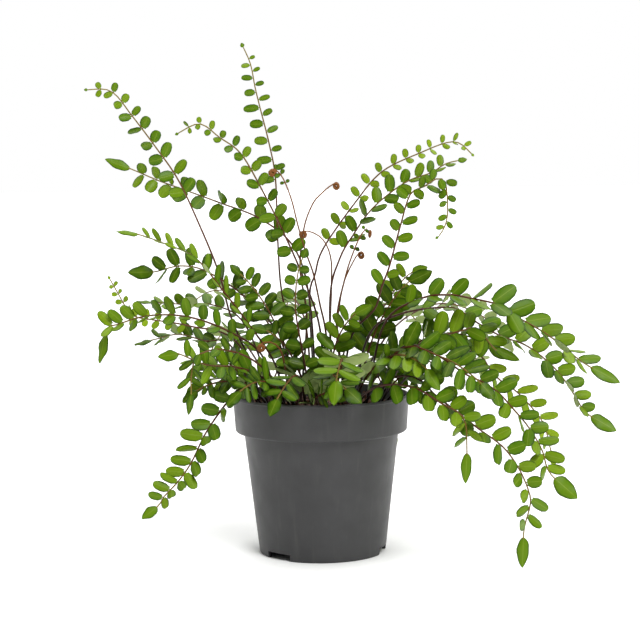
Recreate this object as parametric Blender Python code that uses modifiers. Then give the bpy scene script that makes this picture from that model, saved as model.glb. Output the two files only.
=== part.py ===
"""A button fern in a plastic nursery pot: pot, potting soil, crown and one object per frond.

Origin at the middle of the pot's underside, +Z up, -Y to the front. Values are metres.
"""

import math
import random

import bmesh
import bpy
from mathutils import Matrix, Vector
from mathutils.bvhtree import BVHTree

MM = 0.001
GAP = 0.3 * MM  # air between neighbouring solids

POT_HEIGHT = 107.5 * MM
RIM_RADIUS = 60 * MM
COLLAR_DROP = 24.5 * MM
COLLAR_LOW_RADIUS = 58.2 * MM
BODY_TOP_RADIUS = 52.5 * MM
BASE_RADIUS = 43.5 * MM
WALL = 1.2 * MM
LIP = 0.8 * MM
FOOT_HEIGHT = 5 * MM
FOOT_WIDTH = 3 * MM
PAD_RADIUS = 12 * MM
NOTCHES = 3
NOTCH_ANGLE = 27
NOTCH_START = -134  # degrees from +X to the first notch's middle
HOLE_RADIUS = 4 * MM
HOLE_RING = 27 * MM
TURN_STEPS = 40

SOIL_TOP = 97.7 * MM
CROWN_THICKNESS = 2.7 * MM
CROWN_RADIUS = 50 * MM
CROWN_LOBE = 1.2 * MM
FROND_FOOT = SOIL_TOP + CROWN_THICKNESS + 2 * GAP

STALK_FOOT_RADIUS = 0.9 * MM
STALK_TIP_RADIUS = 0.5 * MM
NODE_HALF = 1.0 * MM  # half the stretch of stalk that one pinna grows from
BLADE_HALF = 0.4 * MM  # half a pinna's thickness
ROOM = 0.3 * MM  # extra clearance that a pinna keeps from other fronds
LEAFY_SHARE = 0.75  # of the route: where a frond's face is set
CROWDING = 0.3  # how much closer together the pinnae get towards the tip
REACH = 1.5 * MM  # ahead and behind, to read the direction of growth
LONGEST_STRETCH = 16 * MM  # of stalk between two rings
SHARPEST_BEND = math.radians(28)  # between two rings


def clear_scene():
    for obj in list(bpy.data.objects):
        bpy.data.objects.remove(obj, do_unlink=True)


def new_collection(name):
    collection = bpy.data.collections.new(name)
    bpy.context.scene.collection.children.link(collection)
    return collection


def finish(obj, colour, roughness):
    """Give an object a plain Principled material of its own."""
    material = bpy.data.materials.new(obj.name)
    material.use_nodes = True
    shader = material.node_tree.nodes["Principled BSDF"]
    shader.inputs["Base Color"].default_value = (*colour, 1)
    shader.inputs["Roughness"].default_value = roughness
    shader.inputs["Metallic"].default_value = 0.0
    obj.data.materials.append(material)
    return obj


def object_from(bm, name, collection):
    mesh = bpy.data.meshes.new(name)
    bm.to_mesh(mesh)
    bm.free()
    obj = bpy.data.objects.new(name, mesh)
    collection.objects.link(obj)
    return obj


def turned(name, profile, collection):
    """Turn a profile of (radius, height) about Z. It runs from the axis round to the axis."""
    bm = bmesh.new()
    points = [bm.verts.new((radius, 0, height)) for radius, height in profile]
    for start, end in zip(points, points[1:]):
        bm.edges.new((start, end))
    obj = object_from(bm, name, collection)
    screw = obj.modifiers.new("Turn", "SCREW")
    screw.steps = screw.render_steps = TURN_STEPS
    screw.use_merge_vertices = True
    screw.merge_threshold = 0.00001
    screw.use_smooth_shade = False
    return obj


# ---------------------------------------------------------------- pot, soil and crown

STEP_HEIGHT = POT_HEIGHT - COLLAR_DROP


def body_radius(height):
    """Outer radius of the tapered body under the collar."""
    share = (height - FOOT_HEIGHT) / (STEP_HEIGHT - FOOT_HEIGHT)
    return BASE_RADIUS + (BODY_TOP_RADIUS - BASE_RADIUS) * share


def make_pot(collection):
    floor = FOOT_HEIGHT + WALL
    inside = [
        (0, WALL),
        (PAD_RADIUS - WALL, WALL),
        (PAD_RADIUS, floor),
        (body_radius(floor) - WALL, floor),
        (BODY_TOP_RADIUS - WALL, STEP_HEIGHT),
        (COLLAR_LOW_RADIUS - WALL, STEP_HEIGHT + WALL),
        (RIM_RADIUS - WALL - LIP, POT_HEIGHT - LIP),
    ]
    outside = [
        (RIM_RADIUS - WALL, POT_HEIGHT),
        (RIM_RADIUS - LIP / 2, POT_HEIGHT),
        (RIM_RADIUS, POT_HEIGHT - LIP),
        (COLLAR_LOW_RADIUS, STEP_HEIGHT),
        (COLLAR_LOW_RADIUS - LIP, STEP_HEIGHT - LIP),
        (BODY_TOP_RADIUS, STEP_HEIGHT - LIP),
        (BASE_RADIUS, FOOT_HEIGHT),
        (BASE_RADIUS - LIP, 0),
        (BASE_RADIUS - FOOT_WIDTH, 0),
        (BASE_RADIUS - FOOT_WIDTH, FOOT_HEIGHT),
        (PAD_RADIUS + WALL, FOOT_HEIGHT),
        (PAD_RADIUS, 0),
        (0, 0),
    ]
    return turned("nursery_pot", inside + outside, collection)


def make_pot_cutters(collection):
    """Drain holes through the floor, and the notches that part the foot into three."""
    bm = bmesh.new()
    notch_width = 2 * BASE_RADIUS * math.sin(math.radians(NOTCH_ANGLE / 2))
    notch_length = 3 * FOOT_WIDTH
    notch_height = 2 * FOOT_HEIGHT - 2 * GAP  # it stops just under the floor
    for number in range(NOTCHES):
        turn = Matrix.Rotation(math.radians(NOTCH_START + number * 360 / NOTCHES), 4, "Z")
        place = turn @ Matrix.Translation((BASE_RADIUS, 0, 0))
        shape = Matrix.Diagonal((notch_length, notch_width, notch_height, 1))
        bmesh.ops.create_cube(bm, size=1, matrix=place @ shape)
        between = Matrix.Rotation(math.radians(180 / NOTCHES), 4, "Z") @ turn
        bmesh.ops.create_cone(
            bm,
            cap_ends=True,
            segments=12,
            radius1=HOLE_RADIUS,
            radius2=HOLE_RADIUS,
            depth=4 * WALL,
            matrix=between @ Matrix.Translation((HOLE_RING, 0, FOOT_HEIGHT + WALL / 2)),
        )
    cutter = object_from(bm, "pot_cutters", collection)
    cutter.hide_render = True
    cutter.display_type = "WIRE"
    return cutter


def cut(obj, cutter):
    boolean = obj.modifiers.new("Cut", "BOOLEAN")
    boolean.operation = "DIFFERENCE"
    boolean.object = cutter


def make_soil(collection):
    """Potting mix that fills the pot to below the rim, a gap off its wall."""
    wall = WALL + GAP
    floor = FOOT_HEIGHT + WALL + GAP
    side = [
        (0, SOIL_TOP),
        (COLLAR_LOW_RADIUS - wall, SOIL_TOP),
        (COLLAR_LOW_RADIUS - wall, STEP_HEIGHT + 2 * wall),
        (BODY_TOP_RADIUS - wall - GAP, STEP_HEIGHT),
        (body_radius(floor) - wall - GAP, floor),
        (PAD_RADIUS - GAP, floor),
        (PAD_RADIUS - wall - GAP, WALL + GAP),
        (0, WALL + GAP),
    ]
    return turned("potting_soil", side, collection)


def make_crown(collection):
    """The low lobed mat of creeping rhizome that every frond rises from."""
    bm = bmesh.new()
    middle = SOIL_TOP + GAP + CROWN_THICKNESS / 2
    bmesh.ops.create_cone(
        bm,
        cap_ends=True,
        segments=TURN_STEPS,
        radius1=CROWN_RADIUS,
        radius2=CROWN_RADIUS,
        depth=CROWN_THICKNESS,
        matrix=Matrix.Translation((0, 0, middle)),
    )
    for vert in bm.verts:
        angle = math.atan2(vert.co.y, vert.co.x)
        radius = CROWN_RADIUS + CROWN_LOBE * math.sin(5 * angle)
        vert.co.x, vert.co.y = radius * math.cos(angle), radius * math.sin(angle)
    return object_from(bm, "rhizome", collection)


# ---------------------------------------------------------------- fronds

LEAF_GREEN = (0.10, 0.25, 0.02)
DARK_GREEN = (0.04, 0.13, 0.01)
YOUNG_GREEN = (0.25, 0.36, 0.05)
CROZIER_BROWN = (0.16, 0.08, 0.03)

FRONT = (0, -1, 0.35)
FRONT_UP = (0, -0.8, 0.6)
BACK_UP = (0, 0.6, 0.8)


class Frond:
    """One frond: a route in millimetres from its foot to the tip of its last pinna."""

    def __init__(
        self,
        name,
        route,
        pairs=0,
        bare=0.5,
        sizes=(10, 10, 6),
        aspect=0.8,
        tip=(12, 7),
        face=FRONT,
        tilts=(10, 10),
        offset=0.0,
        sweep=(10, 30),
        row_sizes=(1.0, 1.0),
        colour=LEAF_GREEN,
    ):
        self.name = name
        self.route = [Vector(point) * MM for point in route]
        self.route[0].z = FROND_FOOT
        self.pairs = pairs  # pairs of pinnae
        self.bare = bare  # share of the stalk, from its foot, with no pinnae
        self.sizes = [size * MM for size in sizes]  # pinna length: first, middle, last
        self.aspect = aspect  # pinna width over length
        self.tip_length, self.tip_width = tip[0] * MM, tip[1] * MM
        self.face = Vector(face)  # where the upper side of the blade looks
        self.tilts = tilts  # degrees that the left and the right row fold up
        self.offset = offset  # how far the right row is shifted, in pair spacings
        self.sweep = sweep  # degrees that pinnae lean towards the tip: least and most
        self.row_sizes = row_sizes  # share of the pinna length in the left and right row
        self.colour = colour


FRONDS = [
    # --- left, from the top down
    Frond(
        "frond_tall_left",
        [(-40, -10, 95), (-47, -12, 130), (-59, -18, 161), (-67, -22, 193), (-80, -26, 227),
         (-92, -30, 254), (-105, -34, 274), (-120, -38, 295), (-133, -42, 311), (-150, -45, 312)],
        pairs=9, bare=0.6, sizes=(10, 8.5, 5), aspect=0.8, tip=(3, 2), tilts=(15, 15),
        sweep=(15, 35),
    ),
    Frond(
        "frond_tallest",
        [(-10, 4, 95), (-20, 5, 150), (-26, 6, 178), (-28, 8, 212), (-29, 10, 253),
         (-33, 11, 277), (-39, 12, 302), (-42, 13, 315), (-45, 14, 331), (-51, 15, 345)],
        pairs=8, bare=0.61, sizes=(10, 10, 6), aspect=0.6, tip=(4, 3), offset=0.5, sweep=(0, 15),
        row_sizes=(1.0, 0.72),
    ),
    Frond(
        "frond_arching_left",
        [(3, -3, 95), (0, -4, 151), (-9, -6, 182), (-23, -9, 216), (-37, -12, 245),
         (-51, -14, 270), (-65, -16, 281), (-78, -18, 290), (-94, -20, 283)],
        pairs=12, bare=0.45, sizes=(11, 8, 4), aspect=0.75, tip=(3, 2), tilts=(20, 30),
        sweep=(15, 40),
    ),
    Frond(
        "frond_left_high",
        [(-3, 14, 95), (-7, 14, 170), (-17, 16, 206), (-40, 18, 226), (-67, 20, 237),
         (-91, 22, 246), (-110, 24, 253), (-126, 25, 260), (-146, 26, 268)],
        pairs=9, bare=0.5, sizes=(11, 11, 9), aspect=0.85, tip=(19, 7), tilts=(10, 62),
        sweep=(10, 30),
    ),
    Frond(
        "frond_left_pale",
        [(-24, -22, 95), (-30, -28, 131), (-47, -36, 159), (-62, -42, 180), (-80, -48, 203),
         (-100, -52, 213), (-116, -54, 219), (-130, -55, 222)],
        pairs=10, bare=0.36, sizes=(11, 11, 8), aspect=0.42, tip=(15, 5),
        face=(-0.3, -0.5, 0.8), tilts=(30, 40), offset=0.3, sweep=(40, 60),
        colour=YOUNG_GREEN,
    ),
    Frond(
        "frond_left_broad",
        [(-22, 8, 95), (-24, 6, 140), (-47, 8, 170), (-75, 10, 190), (-94, 8, 195),
         (-113, 8, 191), (-130, 8, 191)],
        pairs=8, bare=0.4, sizes=(11, 13, 13), aspect=0.62, tip=(18, 10), tilts=(30, 50),
        sweep=(15, 35), colour=DARK_GREEN,
    ),
    Frond(
        "frond_left_young",
        [(-34, -18, 95), (-56, -22, 146), (-86, -27, 157), (-112, -30, 162), (-122, -30, 164),
         (-127, -30, 169), (-133, -30, 180), (-139, -30, 191)],
        pairs=9, bare=0.56, sizes=(6, 5.5, 3.5), tip=(3, 2), sweep=(20, 40), colour=YOUNG_GREEN,
    ),
    Frond(
        "frond_left_long",
        [(-28, -28, 95), (-38, -34, 137), (-58, -44, 154), (-84, -52, 165), (-109, -58, 167),
         (-129, -62, 162), (-137, -62, 158), (-142, -62, 137)],
        pairs=11, bare=0.32, sizes=(10, 12, 11), aspect=0.62, tip=(20, 8), face=FRONT_UP,
        tilts=(35, 45), sweep=(20, 40),
    ),
    Frond(
        "frond_left_back",
        [(-32, 16, 95), (-51, 15, 153), (-72, 18, 167), (-96, 20, 168), (-120, 20, 170),
         (-126, 20, 171)],
        pairs=8, bare=0.42, sizes=(11, 12, 9), aspect=0.6, tip=(12, 5),
        face=(0, -0.35, 0.95), sweep=(20, 45),
    ),
    Frond(
        "frond_left_middle",
        [(-42, -16, 95), (-60, -17, 143), (-76, -19, 146), (-94, -20, 151), (-109, -20, 148),
         (-124, -20, 145)],
        pairs=8, bare=0.36, sizes=(11, 13, 10), aspect=0.6, tip=(13, 6),
        face=(0, -0.4, 0.9), tilts=(25, 5), sweep=(20, 40), colour=DARK_GREEN,
    ),
    Frond(
        "frond_left_front",
        [(-22, -36, 95), (-37, -48, 124), (-54, -60, 133), (-73, -70, 136), (-92, -72, 144),
         (-103, -72, 142)],
        pairs=8, bare=0.28, sizes=(13, 14, 12), aspect=0.75, tip=(14, 8), face=FRONT_UP,
        tilts=(25, 0), offset=0.5, sweep=(15, 35),
    ),
    Frond(
        "frond_left_hanging",
        [(-13, -40, 95), (-40, -60, 135), (-62, -74, 146), (-76, -80, 144), (-80, -80, 139),
         (-82, -80, 128), (-82, -80, 119), (-84, -80, 105)],
        pairs=4, bare=0.5, sizes=(9, 10, 9), aspect=0.6, tip=(15, 5), tilts=(50, 20),
        offset=0.5, sweep=(30, 50), colour=DARK_GREEN,
    ),
    Frond(
        "frond_over_rim_left",
        [(-33, -32, 95), (-41, -36, 112), (-50, -41, 118), (-59, -46, 111), (-68, -52, 100),
         (-76, -57, 88), (-84, -62, 72), (-92, -68, 61), (-101, -73, 52), (-105, -75, 46),
         (-115, -79, 39)],
        pairs=11, bare=0.2, sizes=(12, 13, 9), aspect=0.72, tip=(13, 7), tilts=(50, 5),
        sweep=(15, 35),
    ),
    Frond(
        "frond_over_rim_short",
        [(-40, -24, 95), (-50, -29, 118), (-66, -34, 123), (-80, -38, 119), (-88, -40, 115)],
        pairs=6, bare=0.28, sizes=(12, 13, 11), tip=(13, 8), face=FRONT_UP, tilts=(35, 5),
        sweep=(15, 35),
    ),
    # --- right, from the top down
    Frond(
        "frond_right_outer_high",
        [(-4, 22, 95), (-7, 23, 169), (-3, 25, 187), (3, 27, 205), (26, 30, 237),
         (44, 32, 257), (69, 34, 269), (94, 35, 277), (108, 35, 267)],
        pairs=13, bare=0.45, sizes=(8, 7, 5), aspect=0.7, tip=(3, 2), tilts=(25, 35),
        sweep=(10, 35), colour=YOUNG_GREEN,
    ),
    Frond(
        "frond_right_high",
        [(8, 6, 95), (7, 6, 171), (14, 5, 199), (24, 4, 216), (34, 3, 230), (46, 2, 241),
         (61, 1, 251), (76, 0, 256), (86, 0, 262), (100, 0, 265)],
        pairs=9, bare=0.5, sizes=(12, 12, 8), aspect=0.62, tip=(7, 4), tilts=(15, 45), offset=0.5,
        sweep=(25, 45),
    ),
    Frond(
        "frond_right_nodding",
        [(14, -22, 95), (20, -26, 147), (36, -30, 167), (41, -30, 182), (46, -30, 195),
         (53, -31, 220), (60, -31, 242), (69, -32, 247), (77, -32, 252), (83, -33, 249),
         (84, -35, 228), (80, -36, 217), (76, -36, 213)],
        pairs=12, bare=0.4, sizes=(10, 9, 5), aspect=0.72, tip=(3, 2), tilts=(25, 10), offset=0.5,
        sweep=(15, 40),
    ),
    Frond(
        "frond_right_broad",
        [(30, -20, 95), (42, -34, 157), (65, -40, 174), (84, -45, 177), (97, -48, 175),
         (114, -51, 171), (125, -54, 164), (144, -58, 153), (157, -60, 143), (171, -63, 132),
         (192, -66, 121)],
        pairs=11, bare=0.36, sizes=(14, 17, 14), aspect=0.66, tip=(22, 9), face=FRONT_UP,
        tilts=(0, 50), sweep=(28, 45),
    ),
    Frond(
        "frond_right_long",
        [(26, -4, 95), (27, -8, 130), (36, -12, 153), (53, -14, 162), (73, -17, 166),
         (90, -20, 166), (102, -22, 158), (119, -25, 148), (137, -28, 141), (155, -32, 126),
         (167, -35, 109), (175, -37, 97), (194, -41, 86)],
        pairs=12, bare=0.38, sizes=(13, 14, 10), aspect=0.72, tip=(20, 10), face=FRONT_UP,
        tilts=(0, 50), sweep=(22, 40),
    ),
    Frond(
        "frond_right_middle",
        [(34, -32, 95), (52, -46, 142), (71, -54, 141), (93, -62, 127), (102, -65, 123),
         (113, -68, 116), (123, -72, 105), (132, -75, 94), (140, -78, 80), (145, -81, 65),
         (162, -85, 50)],
        pairs=11, bare=0.34, sizes=(14, 13, 12), aspect=0.66, tip=(20, 12), face=FRONT_UP,
        tilts=(10, 45), sweep=(22, 42),
    ),
    Frond(
        "frond_right_slender",
        [(40, -22, 95), (75, -36, 140), (102, -45, 138), (111, -46, 127), (118, -47, 120),
         (129, -48, 112), (144, -50, 94), (148, -51, 80), (152, -52, 64)],
        pairs=8, bare=0.38, sizes=(12, 13, 10), aspect=0.5, tip=(12, 5), tilts=(10, 40),
        offset=0.5, sweep=(28, 48), colour=YOUNG_GREEN,
    ),
    Frond(
        "frond_right_trailing",
        [(23, -38, 95), (45, -58, 124), (62, -68, 125), (73, -74, 115), (85, -79, 106),
         (99, -84, 95), (114, -89, 84), (124, -93, 70), (130, -96, 55), (130, -97, 47),
         (126, -99, 32), (125, -101, 9)],
        pairs=11, bare=0.22, sizes=(14, 12, 10), aspect=0.75, tip=(20, 8), face=FRONT,
        tilts=(0, 45), offset=0.5, sweep=(15, 38),
    ),
    Frond(
        "frond_right_hanging",
        [(14, -42, 95), (36, -66, 120), (58, -78, 121), (75, -86, 112), (89, -92, 103),
         (91, -94, 84), (90, -96, 62)],
        pairs=8, bare=0.2, sizes=(14, 13, 11), aspect=0.7, tip=(20, 7), tilts=(0, 30), offset=0.5,
        sweep=(20, 40),
    ),
    Frond(
        "frond_right_short",
        [(38, -28, 95), (55, -40, 135), (71, -50, 149), (84, -50, 152), (92, -50, 154),
         (102, -51, 155), (114, -53, 141), (129, -54, 135)],
        pairs=8, bare=0.26, sizes=(15, 15, 12), aspect=0.75, tip=(18, 7), face=FRONT_UP,
        sweep=(20, 40),
    ),
    Frond(
        "frond_right_front",
        [(22, -33, 95), (51, -60, 143), (76, -75, 140), (94, -85, 130), (109, -92, 115)],
        pairs=9, bare=0.2, sizes=(15, 16, 13), aspect=0.8, tip=(14, 9), face=FRONT_UP,
        tilts=(5, 25), offset=0.5, sweep=(15, 35), colour=DARK_GREEN,
    ),
    # --- short fronds over the middle of the pot
    Frond(
        "frond_middle_front",
        [(2, -30, 95), (5, -42, 122), (8, -56, 127), (14, -68, 121), (26, -74, 111)],
        pairs=6, bare=0.2, sizes=(14, 16, 13), aspect=0.85, tip=(15, 11), face=(0, -0.7, 0.7),
        sweep=(15, 35), colour=DARK_GREEN,
    ),
    Frond(
        "frond_middle_front_left",
        [(-10, -30, 95), (-13, -43, 122), (-18, -56, 126), (-27, -67, 115), (-33, -72, 103)],
        pairs=6, bare=0.2, sizes=(13, 14, 12), aspect=0.85, tip=(13, 9), face=(0, -0.7, 0.7),
        sweep=(15, 35), colour=DARK_GREEN,
    ),
    Frond(
        "frond_middle_right",
        [(24, 6, 95), (34, 4, 140), (48, 3, 168), (62, 2, 184), (76, 1, 190)],
        pairs=5, bare=0.34, sizes=(15, 16, 13), aspect=0.7, tip=(18, 10), sweep=(20, 40),
        colour=DARK_GREEN,
    ),
    Frond(
        "frond_middle_left",
        [(-6, -22, 95), (-12, -27, 140), (-16, -31, 168), (-14, -33, 192), (-8, -34, 208)],
        pairs=7, bare=0.25, sizes=(10, 10, 7), aspect=0.85, tip=(8, 6), colour=DARK_GREEN,
    ),
    Frond(
        "frond_middle_high_left",
        [(-16, -10, 95), (-22, -8, 130), (-32, -6, 160), (-46, -5, 182), (-60, -5, 196)],
        pairs=8, bare=0.34, sizes=(11, 12, 9), aspect=0.8, tip=(10, 6), colour=DARK_GREEN,
    ),
    Frond(
        "frond_middle_high_right",
        [(20, 14, 95), (30, 15, 135), (44, 15, 165), (60, 15, 186), (74, 15, 192)],
        pairs=8, bare=0.34, sizes=(11, 12, 9), aspect=0.8, tip=(12, 7),
    ),
    Frond(
        "frond_front_centre",
        [(7, -35, 95), (11, -48, 120), (14, -62, 136), (13, -75, 138), (10, -85, 128),
         (8, -91, 112)],
        pairs=6, bare=0.24, sizes=(14, 16, 14), aspect=0.85, tip=(17, 10),
        face=(0, -0.75, 0.65), sweep=(20, 40),
    ),
    Frond(
        "frond_front_right",
        [(20, -26, 95), (30, -44, 124), (42, -62, 138), (54, -76, 141), (66, -83, 134),
         (75, -87, 120)],
        pairs=7, bare=0.24, sizes=(14, 16, 13), aspect=0.8, tip=(17, 9),
        face=(0, -0.75, 0.65), sweep=(20, 40),
    ),
    Frond(
        "frond_front_left",
        [(-18, -37, 95), (-27, -50, 116), (-38, -62, 124), (-50, -70, 120), (-60, -75, 110)],
        pairs=7, bare=0.2, sizes=(12, 14, 11), aspect=0.8, tip=(14, 8),
        face=(0, -0.75, 0.65), sweep=(20, 40), colour=DARK_GREEN,
    ),
    Frond(
        "frond_low_right",
        [(36, -14, 95), (46, -24, 122), (58, -34, 134), (70, -42, 134), (82, -48, 124)],
        pairs=7, bare=0.24, sizes=(12, 14, 11), aspect=0.8, tip=(15, 8),
        face=(0, -0.8, 0.6), sweep=(20, 40), colour=DARK_GREEN,
    ),
    Frond(
        "frond_low_left",
        [(-43, -3, 95), (-52, -6, 118), (-62, -9, 130), (-73, -12, 132), (-84, -14, 126)],
        pairs=7, bare=0.26, sizes=(11, 13, 11), aspect=0.75, tip=(13, 7),
        face=(0, -0.6, 0.8), sweep=(20, 40), colour=DARK_GREEN,
    ),
    Frond(
        "frond_centre_upright",
        [(3, -14, 95), (6, -18, 124), (12, -24, 148), (22, -30, 163), (34, -34, 170)],
        pairs=6, bare=0.26, sizes=(13, 15, 11), aspect=0.8, tip=(14, 8), sweep=(20, 40),
    ),
    Frond(
        "frond_centre_low",
        [(-6, -8, 95), (-12, -12, 118), (-22, -17, 140), (-34, -21, 152), (-46, -23, 156)],
        pairs=6, bare=0.24, sizes=(12, 14, 10), aspect=0.8, tip=(12, 7), sweep=(15, 35),
        colour=DARK_GREEN,
    ),
    Frond(
        "frond_rim_right",
        [(40, -2, 95), (50, -8, 116), (58, -13, 121), (64, -17, 116), (67, -20, 102)],
        pairs=4, bare=0.24, sizes=(10, 11, 9), aspect=0.75, tip=(13, 6), sweep=(25, 45),
        colour=DARK_GREEN,
    ),
    Frond(
        "frond_rim_front",
        [(-3, -41, 95), (-6, -48, 107), (0, -54, 114), (8, -57, 115), (16, -58, 111)],
        pairs=6, bare=0.2, sizes=(11, 13, 11), aspect=0.85, tip=(12, 8),
        face=(0, -0.7, 0.7), sweep=(15, 35), colour=DARK_GREEN,
    ),
    Frond(
        "frond_low_outer_left",
        [(-37, -29, 95), (-45, -32, 112), (-60, -38, 121), (-76, -46, 119), (-90, -52, 110)],
        pairs=6, bare=0.3, sizes=(11, 13, 11), aspect=0.8, tip=(13, 8),
        face=(0, -0.8, 0.6), tilts=(25, 5), sweep=(20, 40), colour=DARK_GREEN,
    ),
    Frond(
        "frond_right_inner",
        [(38, -10, 95), (58, -21, 138), (82, -28, 150), (104, -32, 146), (124, -35, 134)],
        pairs=8, bare=0.36, sizes=(14, 14, 11), aspect=0.75, tip=(16, 9),
        face=FRONT_UP, tilts=(5, 30), sweep=(20, 40),
    ),
    # --- back
    Frond(
        "frond_back_left_high",
        [(-16, 26, 95), (-30, 45, 140), (-52, 68, 168), (-78, 90, 172), (-100, 105, 158)],
        pairs=6, bare=0.42, sizes=(10, 12, 8), tip=(15, 7), face=BACK_UP, tilts=(20, 20),
    ),
    Frond(
        "frond_back_tall",
        [(-6, 32, 95), (-10, 60, 148), (-18, 95, 164), (-25, 125, 158), (-30, 150, 134)],
        pairs=7, bare=0.4, sizes=(11, 13, 9), tip=(18, 8), face=BACK_UP, tilts=(20, 20),
    ),
    Frond(
        "frond_back_right",
        [(8, 34, 95), (22, 60, 142), (45, 92, 160), (70, 122, 148), (86, 142, 118)],
        pairs=7, bare=0.4, sizes=(11, 13, 9), tip=(18, 8), face=BACK_UP, tilts=(20, 20),
    ),
    Frond(
        "frond_back_right_wide",
        [(22, 30, 95), (50, 50, 145), (85, 72, 162), (120, 90, 150), (142, 100, 124)],
        pairs=7, bare=0.42, sizes=(11, 12, 9), tip=(16, 8), face=BACK_UP, tilts=(20, 20),
    ),
    Frond(
        "frond_back_left_low",
        [(-30, 26, 95), (-50, 55, 132), (-66, 88, 142), (-78, 112, 132), (-84, 130, 115)],
        pairs=7, bare=0.36, sizes=(11, 12, 9), tip=(15, 7), face=BACK_UP, tilts=(20, 20),
    ),
    Frond(
        "frond_back_right_low",
        [(32, 16, 95), (60, 34, 130), (88, 56, 136), (110, 76, 124), (122, 90, 104)],
        pairs=7, bare=0.36, sizes=(11, 12, 9), tip=(15, 7), face=BACK_UP, tilts=(20, 20),
    ),
    Frond(
        "frond_over_rim_back_left",
        [(-14, 40, 95), (-24, 62, 120), (-34, 84, 108), (-40, 96, 78), (-42, 102, 46)],
        pairs=5, bare=0.34, sizes=(12, 12, 9), tip=(14, 7), face=BACK_UP, tilts=(15, 15),
    ),
    Frond(
        "frond_over_rim_back_right",
        [(14, 42, 95), (26, 64, 122), (40, 84, 112), (50, 98, 82), (54, 104, 52)],
        pairs=5, bare=0.34, sizes=(12, 12, 9), tip=(14, 7), face=BACK_UP, tilts=(15, 15),
    ),
    # --- croziers and bare young stalks
    Frond(
        "crozier_tall",
        [(-14, 0, 95), (-9, 0, 158), (-13, 0, 192), (-10, 0, 220), (-4, 0, 236), (1, 0, 242),
         (8, 0, 248), (13, -1, 250), (14, -2, 246)],
        tip=(3, 2), colour=CROZIER_BROWN,
    ),
    Frond(
        "crozier_crumpled",
        [(8, -14, 95), (4, -16, 149), (0, -17, 170), (-4, -18, 190), (-9, -19, 205),
         (-14, -20, 223), (-18, -21, 240), (-24, -22, 255), (-30, -22, 260), (-34, -22, 256)],
        pairs=3, bare=0.9, sizes=(3, 4, 3), tip=(4, 2.5), colour=CROZIER_BROWN,
    ),
    Frond(
        "crozier_middle",
        [(10, 16, 95), (7, 13, 146), (8, 14, 177), (8, 14, 198), (3, 14, 211), (-6, 14, 217),
         (-15, 14, 217)],
        tip=(4, 2.5), colour=CROZIER_BROWN,
    ),
    Frond(
        "crozier_right",
        [(18, -8, 95), (11, -8, 152), (17, -9, 186), (25, -10, 209), (31, -10, 219),
         (34, -11, 217), (33, -12, 214)],
        pairs=3, bare=0.82, sizes=(4, 4, 3), tip=(3, 2), colour=CROZIER_BROWN,
    ),
    Frond(
        "crozier_back",
        [(16, 24, 95), (12, 22, 149), (13, 23, 162), (17, 24, 182), (26, 24, 200),
         (30, 24, 202), (31, 23, 198)],
        tip=(3, 2), colour=CROZIER_BROWN,
    ),
    Frond(
        "crozier_low_left",
        [(-18, -26, 95), (-22, -33, 118), (-24, -36, 134), (-27, -38, 143), (-33, -39, 147),
         (-39, -40, 146), (-43, -40, 142)],
        tip=(4, 3), colour=CROZIER_BROWN,
    ),
]


def smooth_curve(points, steps=12):
    """A Catmull-Rom curve through the points, as a list of close points."""
    ends = [2 * points[0] - points[1], *points, 2 * points[-1] - points[-2]]
    curve = []
    for a, b, c, d in zip(ends, ends[1:], ends[2:], ends[3:]):
        for step in range(steps):
            t = step / steps
            curve.append(
                0.5
                * (
                    2 * b
                    + (c - a) * t
                    + (2 * a - 5 * b + 4 * c - d) * t * t
                    + (3 * b - a - 3 * c + d) * t * t * t
                )
            )
    curve.append(points[-1].copy())
    return curve


class Stalk:
    """A frond's centre line, read by distance from its foot."""

    def __init__(self, frond):
        self.curve = smooth_curve(frond.route)
        self.distances = [0.0]
        for start, end in zip(self.curve, self.curve[1:]):
            self.distances.append(self.distances[-1] + (end - start).length)
        self.blade_end = self.distances[-1]
        self.length = self.blade_end - frond.tip_length
        self.uppers = self.carried_uppers(frond.face)

    def carried_uppers(self, face):
        """The upper side at each curve point: set where the pinnae are, and carried from there."""
        last = len(self.curve) - 1
        leafy = round(last * LEAFY_SHARE)
        uppers = [face] * (last + 1)
        for order in (range(leafy, last + 1), range(leafy, -1, -1)):
            upper = face
            for index in order:
                growth = self.growth(self.distances[index])
                upper = (upper - upper.dot(growth) * growth).normalized()
                uppers[index] = upper
        return uppers

    def locate(self, distance):
        """The stretch of curve that a distance falls in, and the share along it."""
        for index, reached in enumerate(self.distances[1:]):
            if distance <= reached:
                start = self.distances[index]
                return index, (distance - start) / (reached - start)
        return len(self.curve) - 2, 1.0

    def point(self, distance):
        index, share = self.locate(distance)
        return self.curve[index].lerp(self.curve[index + 1], share)

    def growth(self, distance):
        """The direction of growth. The foot is cut level, to stand on the crown."""
        if distance == 0:
            return Vector((0, 0, 1))
        ahead = self.point(min(distance + REACH, self.blade_end))
        return (ahead - self.point(max(distance - REACH, 0))).normalized()

    def frame(self, distance):
        """The direction of growth, the blade's upper side and the right-hand side."""
        growth = self.growth(distance)
        index, share = self.locate(distance)
        upper = self.uppers[index].lerp(self.uppers[index + 1], share)
        upper = (upper - upper.dot(growth) * growth).normalized()
        return growth, upper, growth.cross(upper)

    def radius(self, distance):
        share = distance / self.length
        return STALK_FOOT_RADIUS + (STALK_TIP_RADIUS - STALK_FOOT_RADIUS) * share


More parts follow.
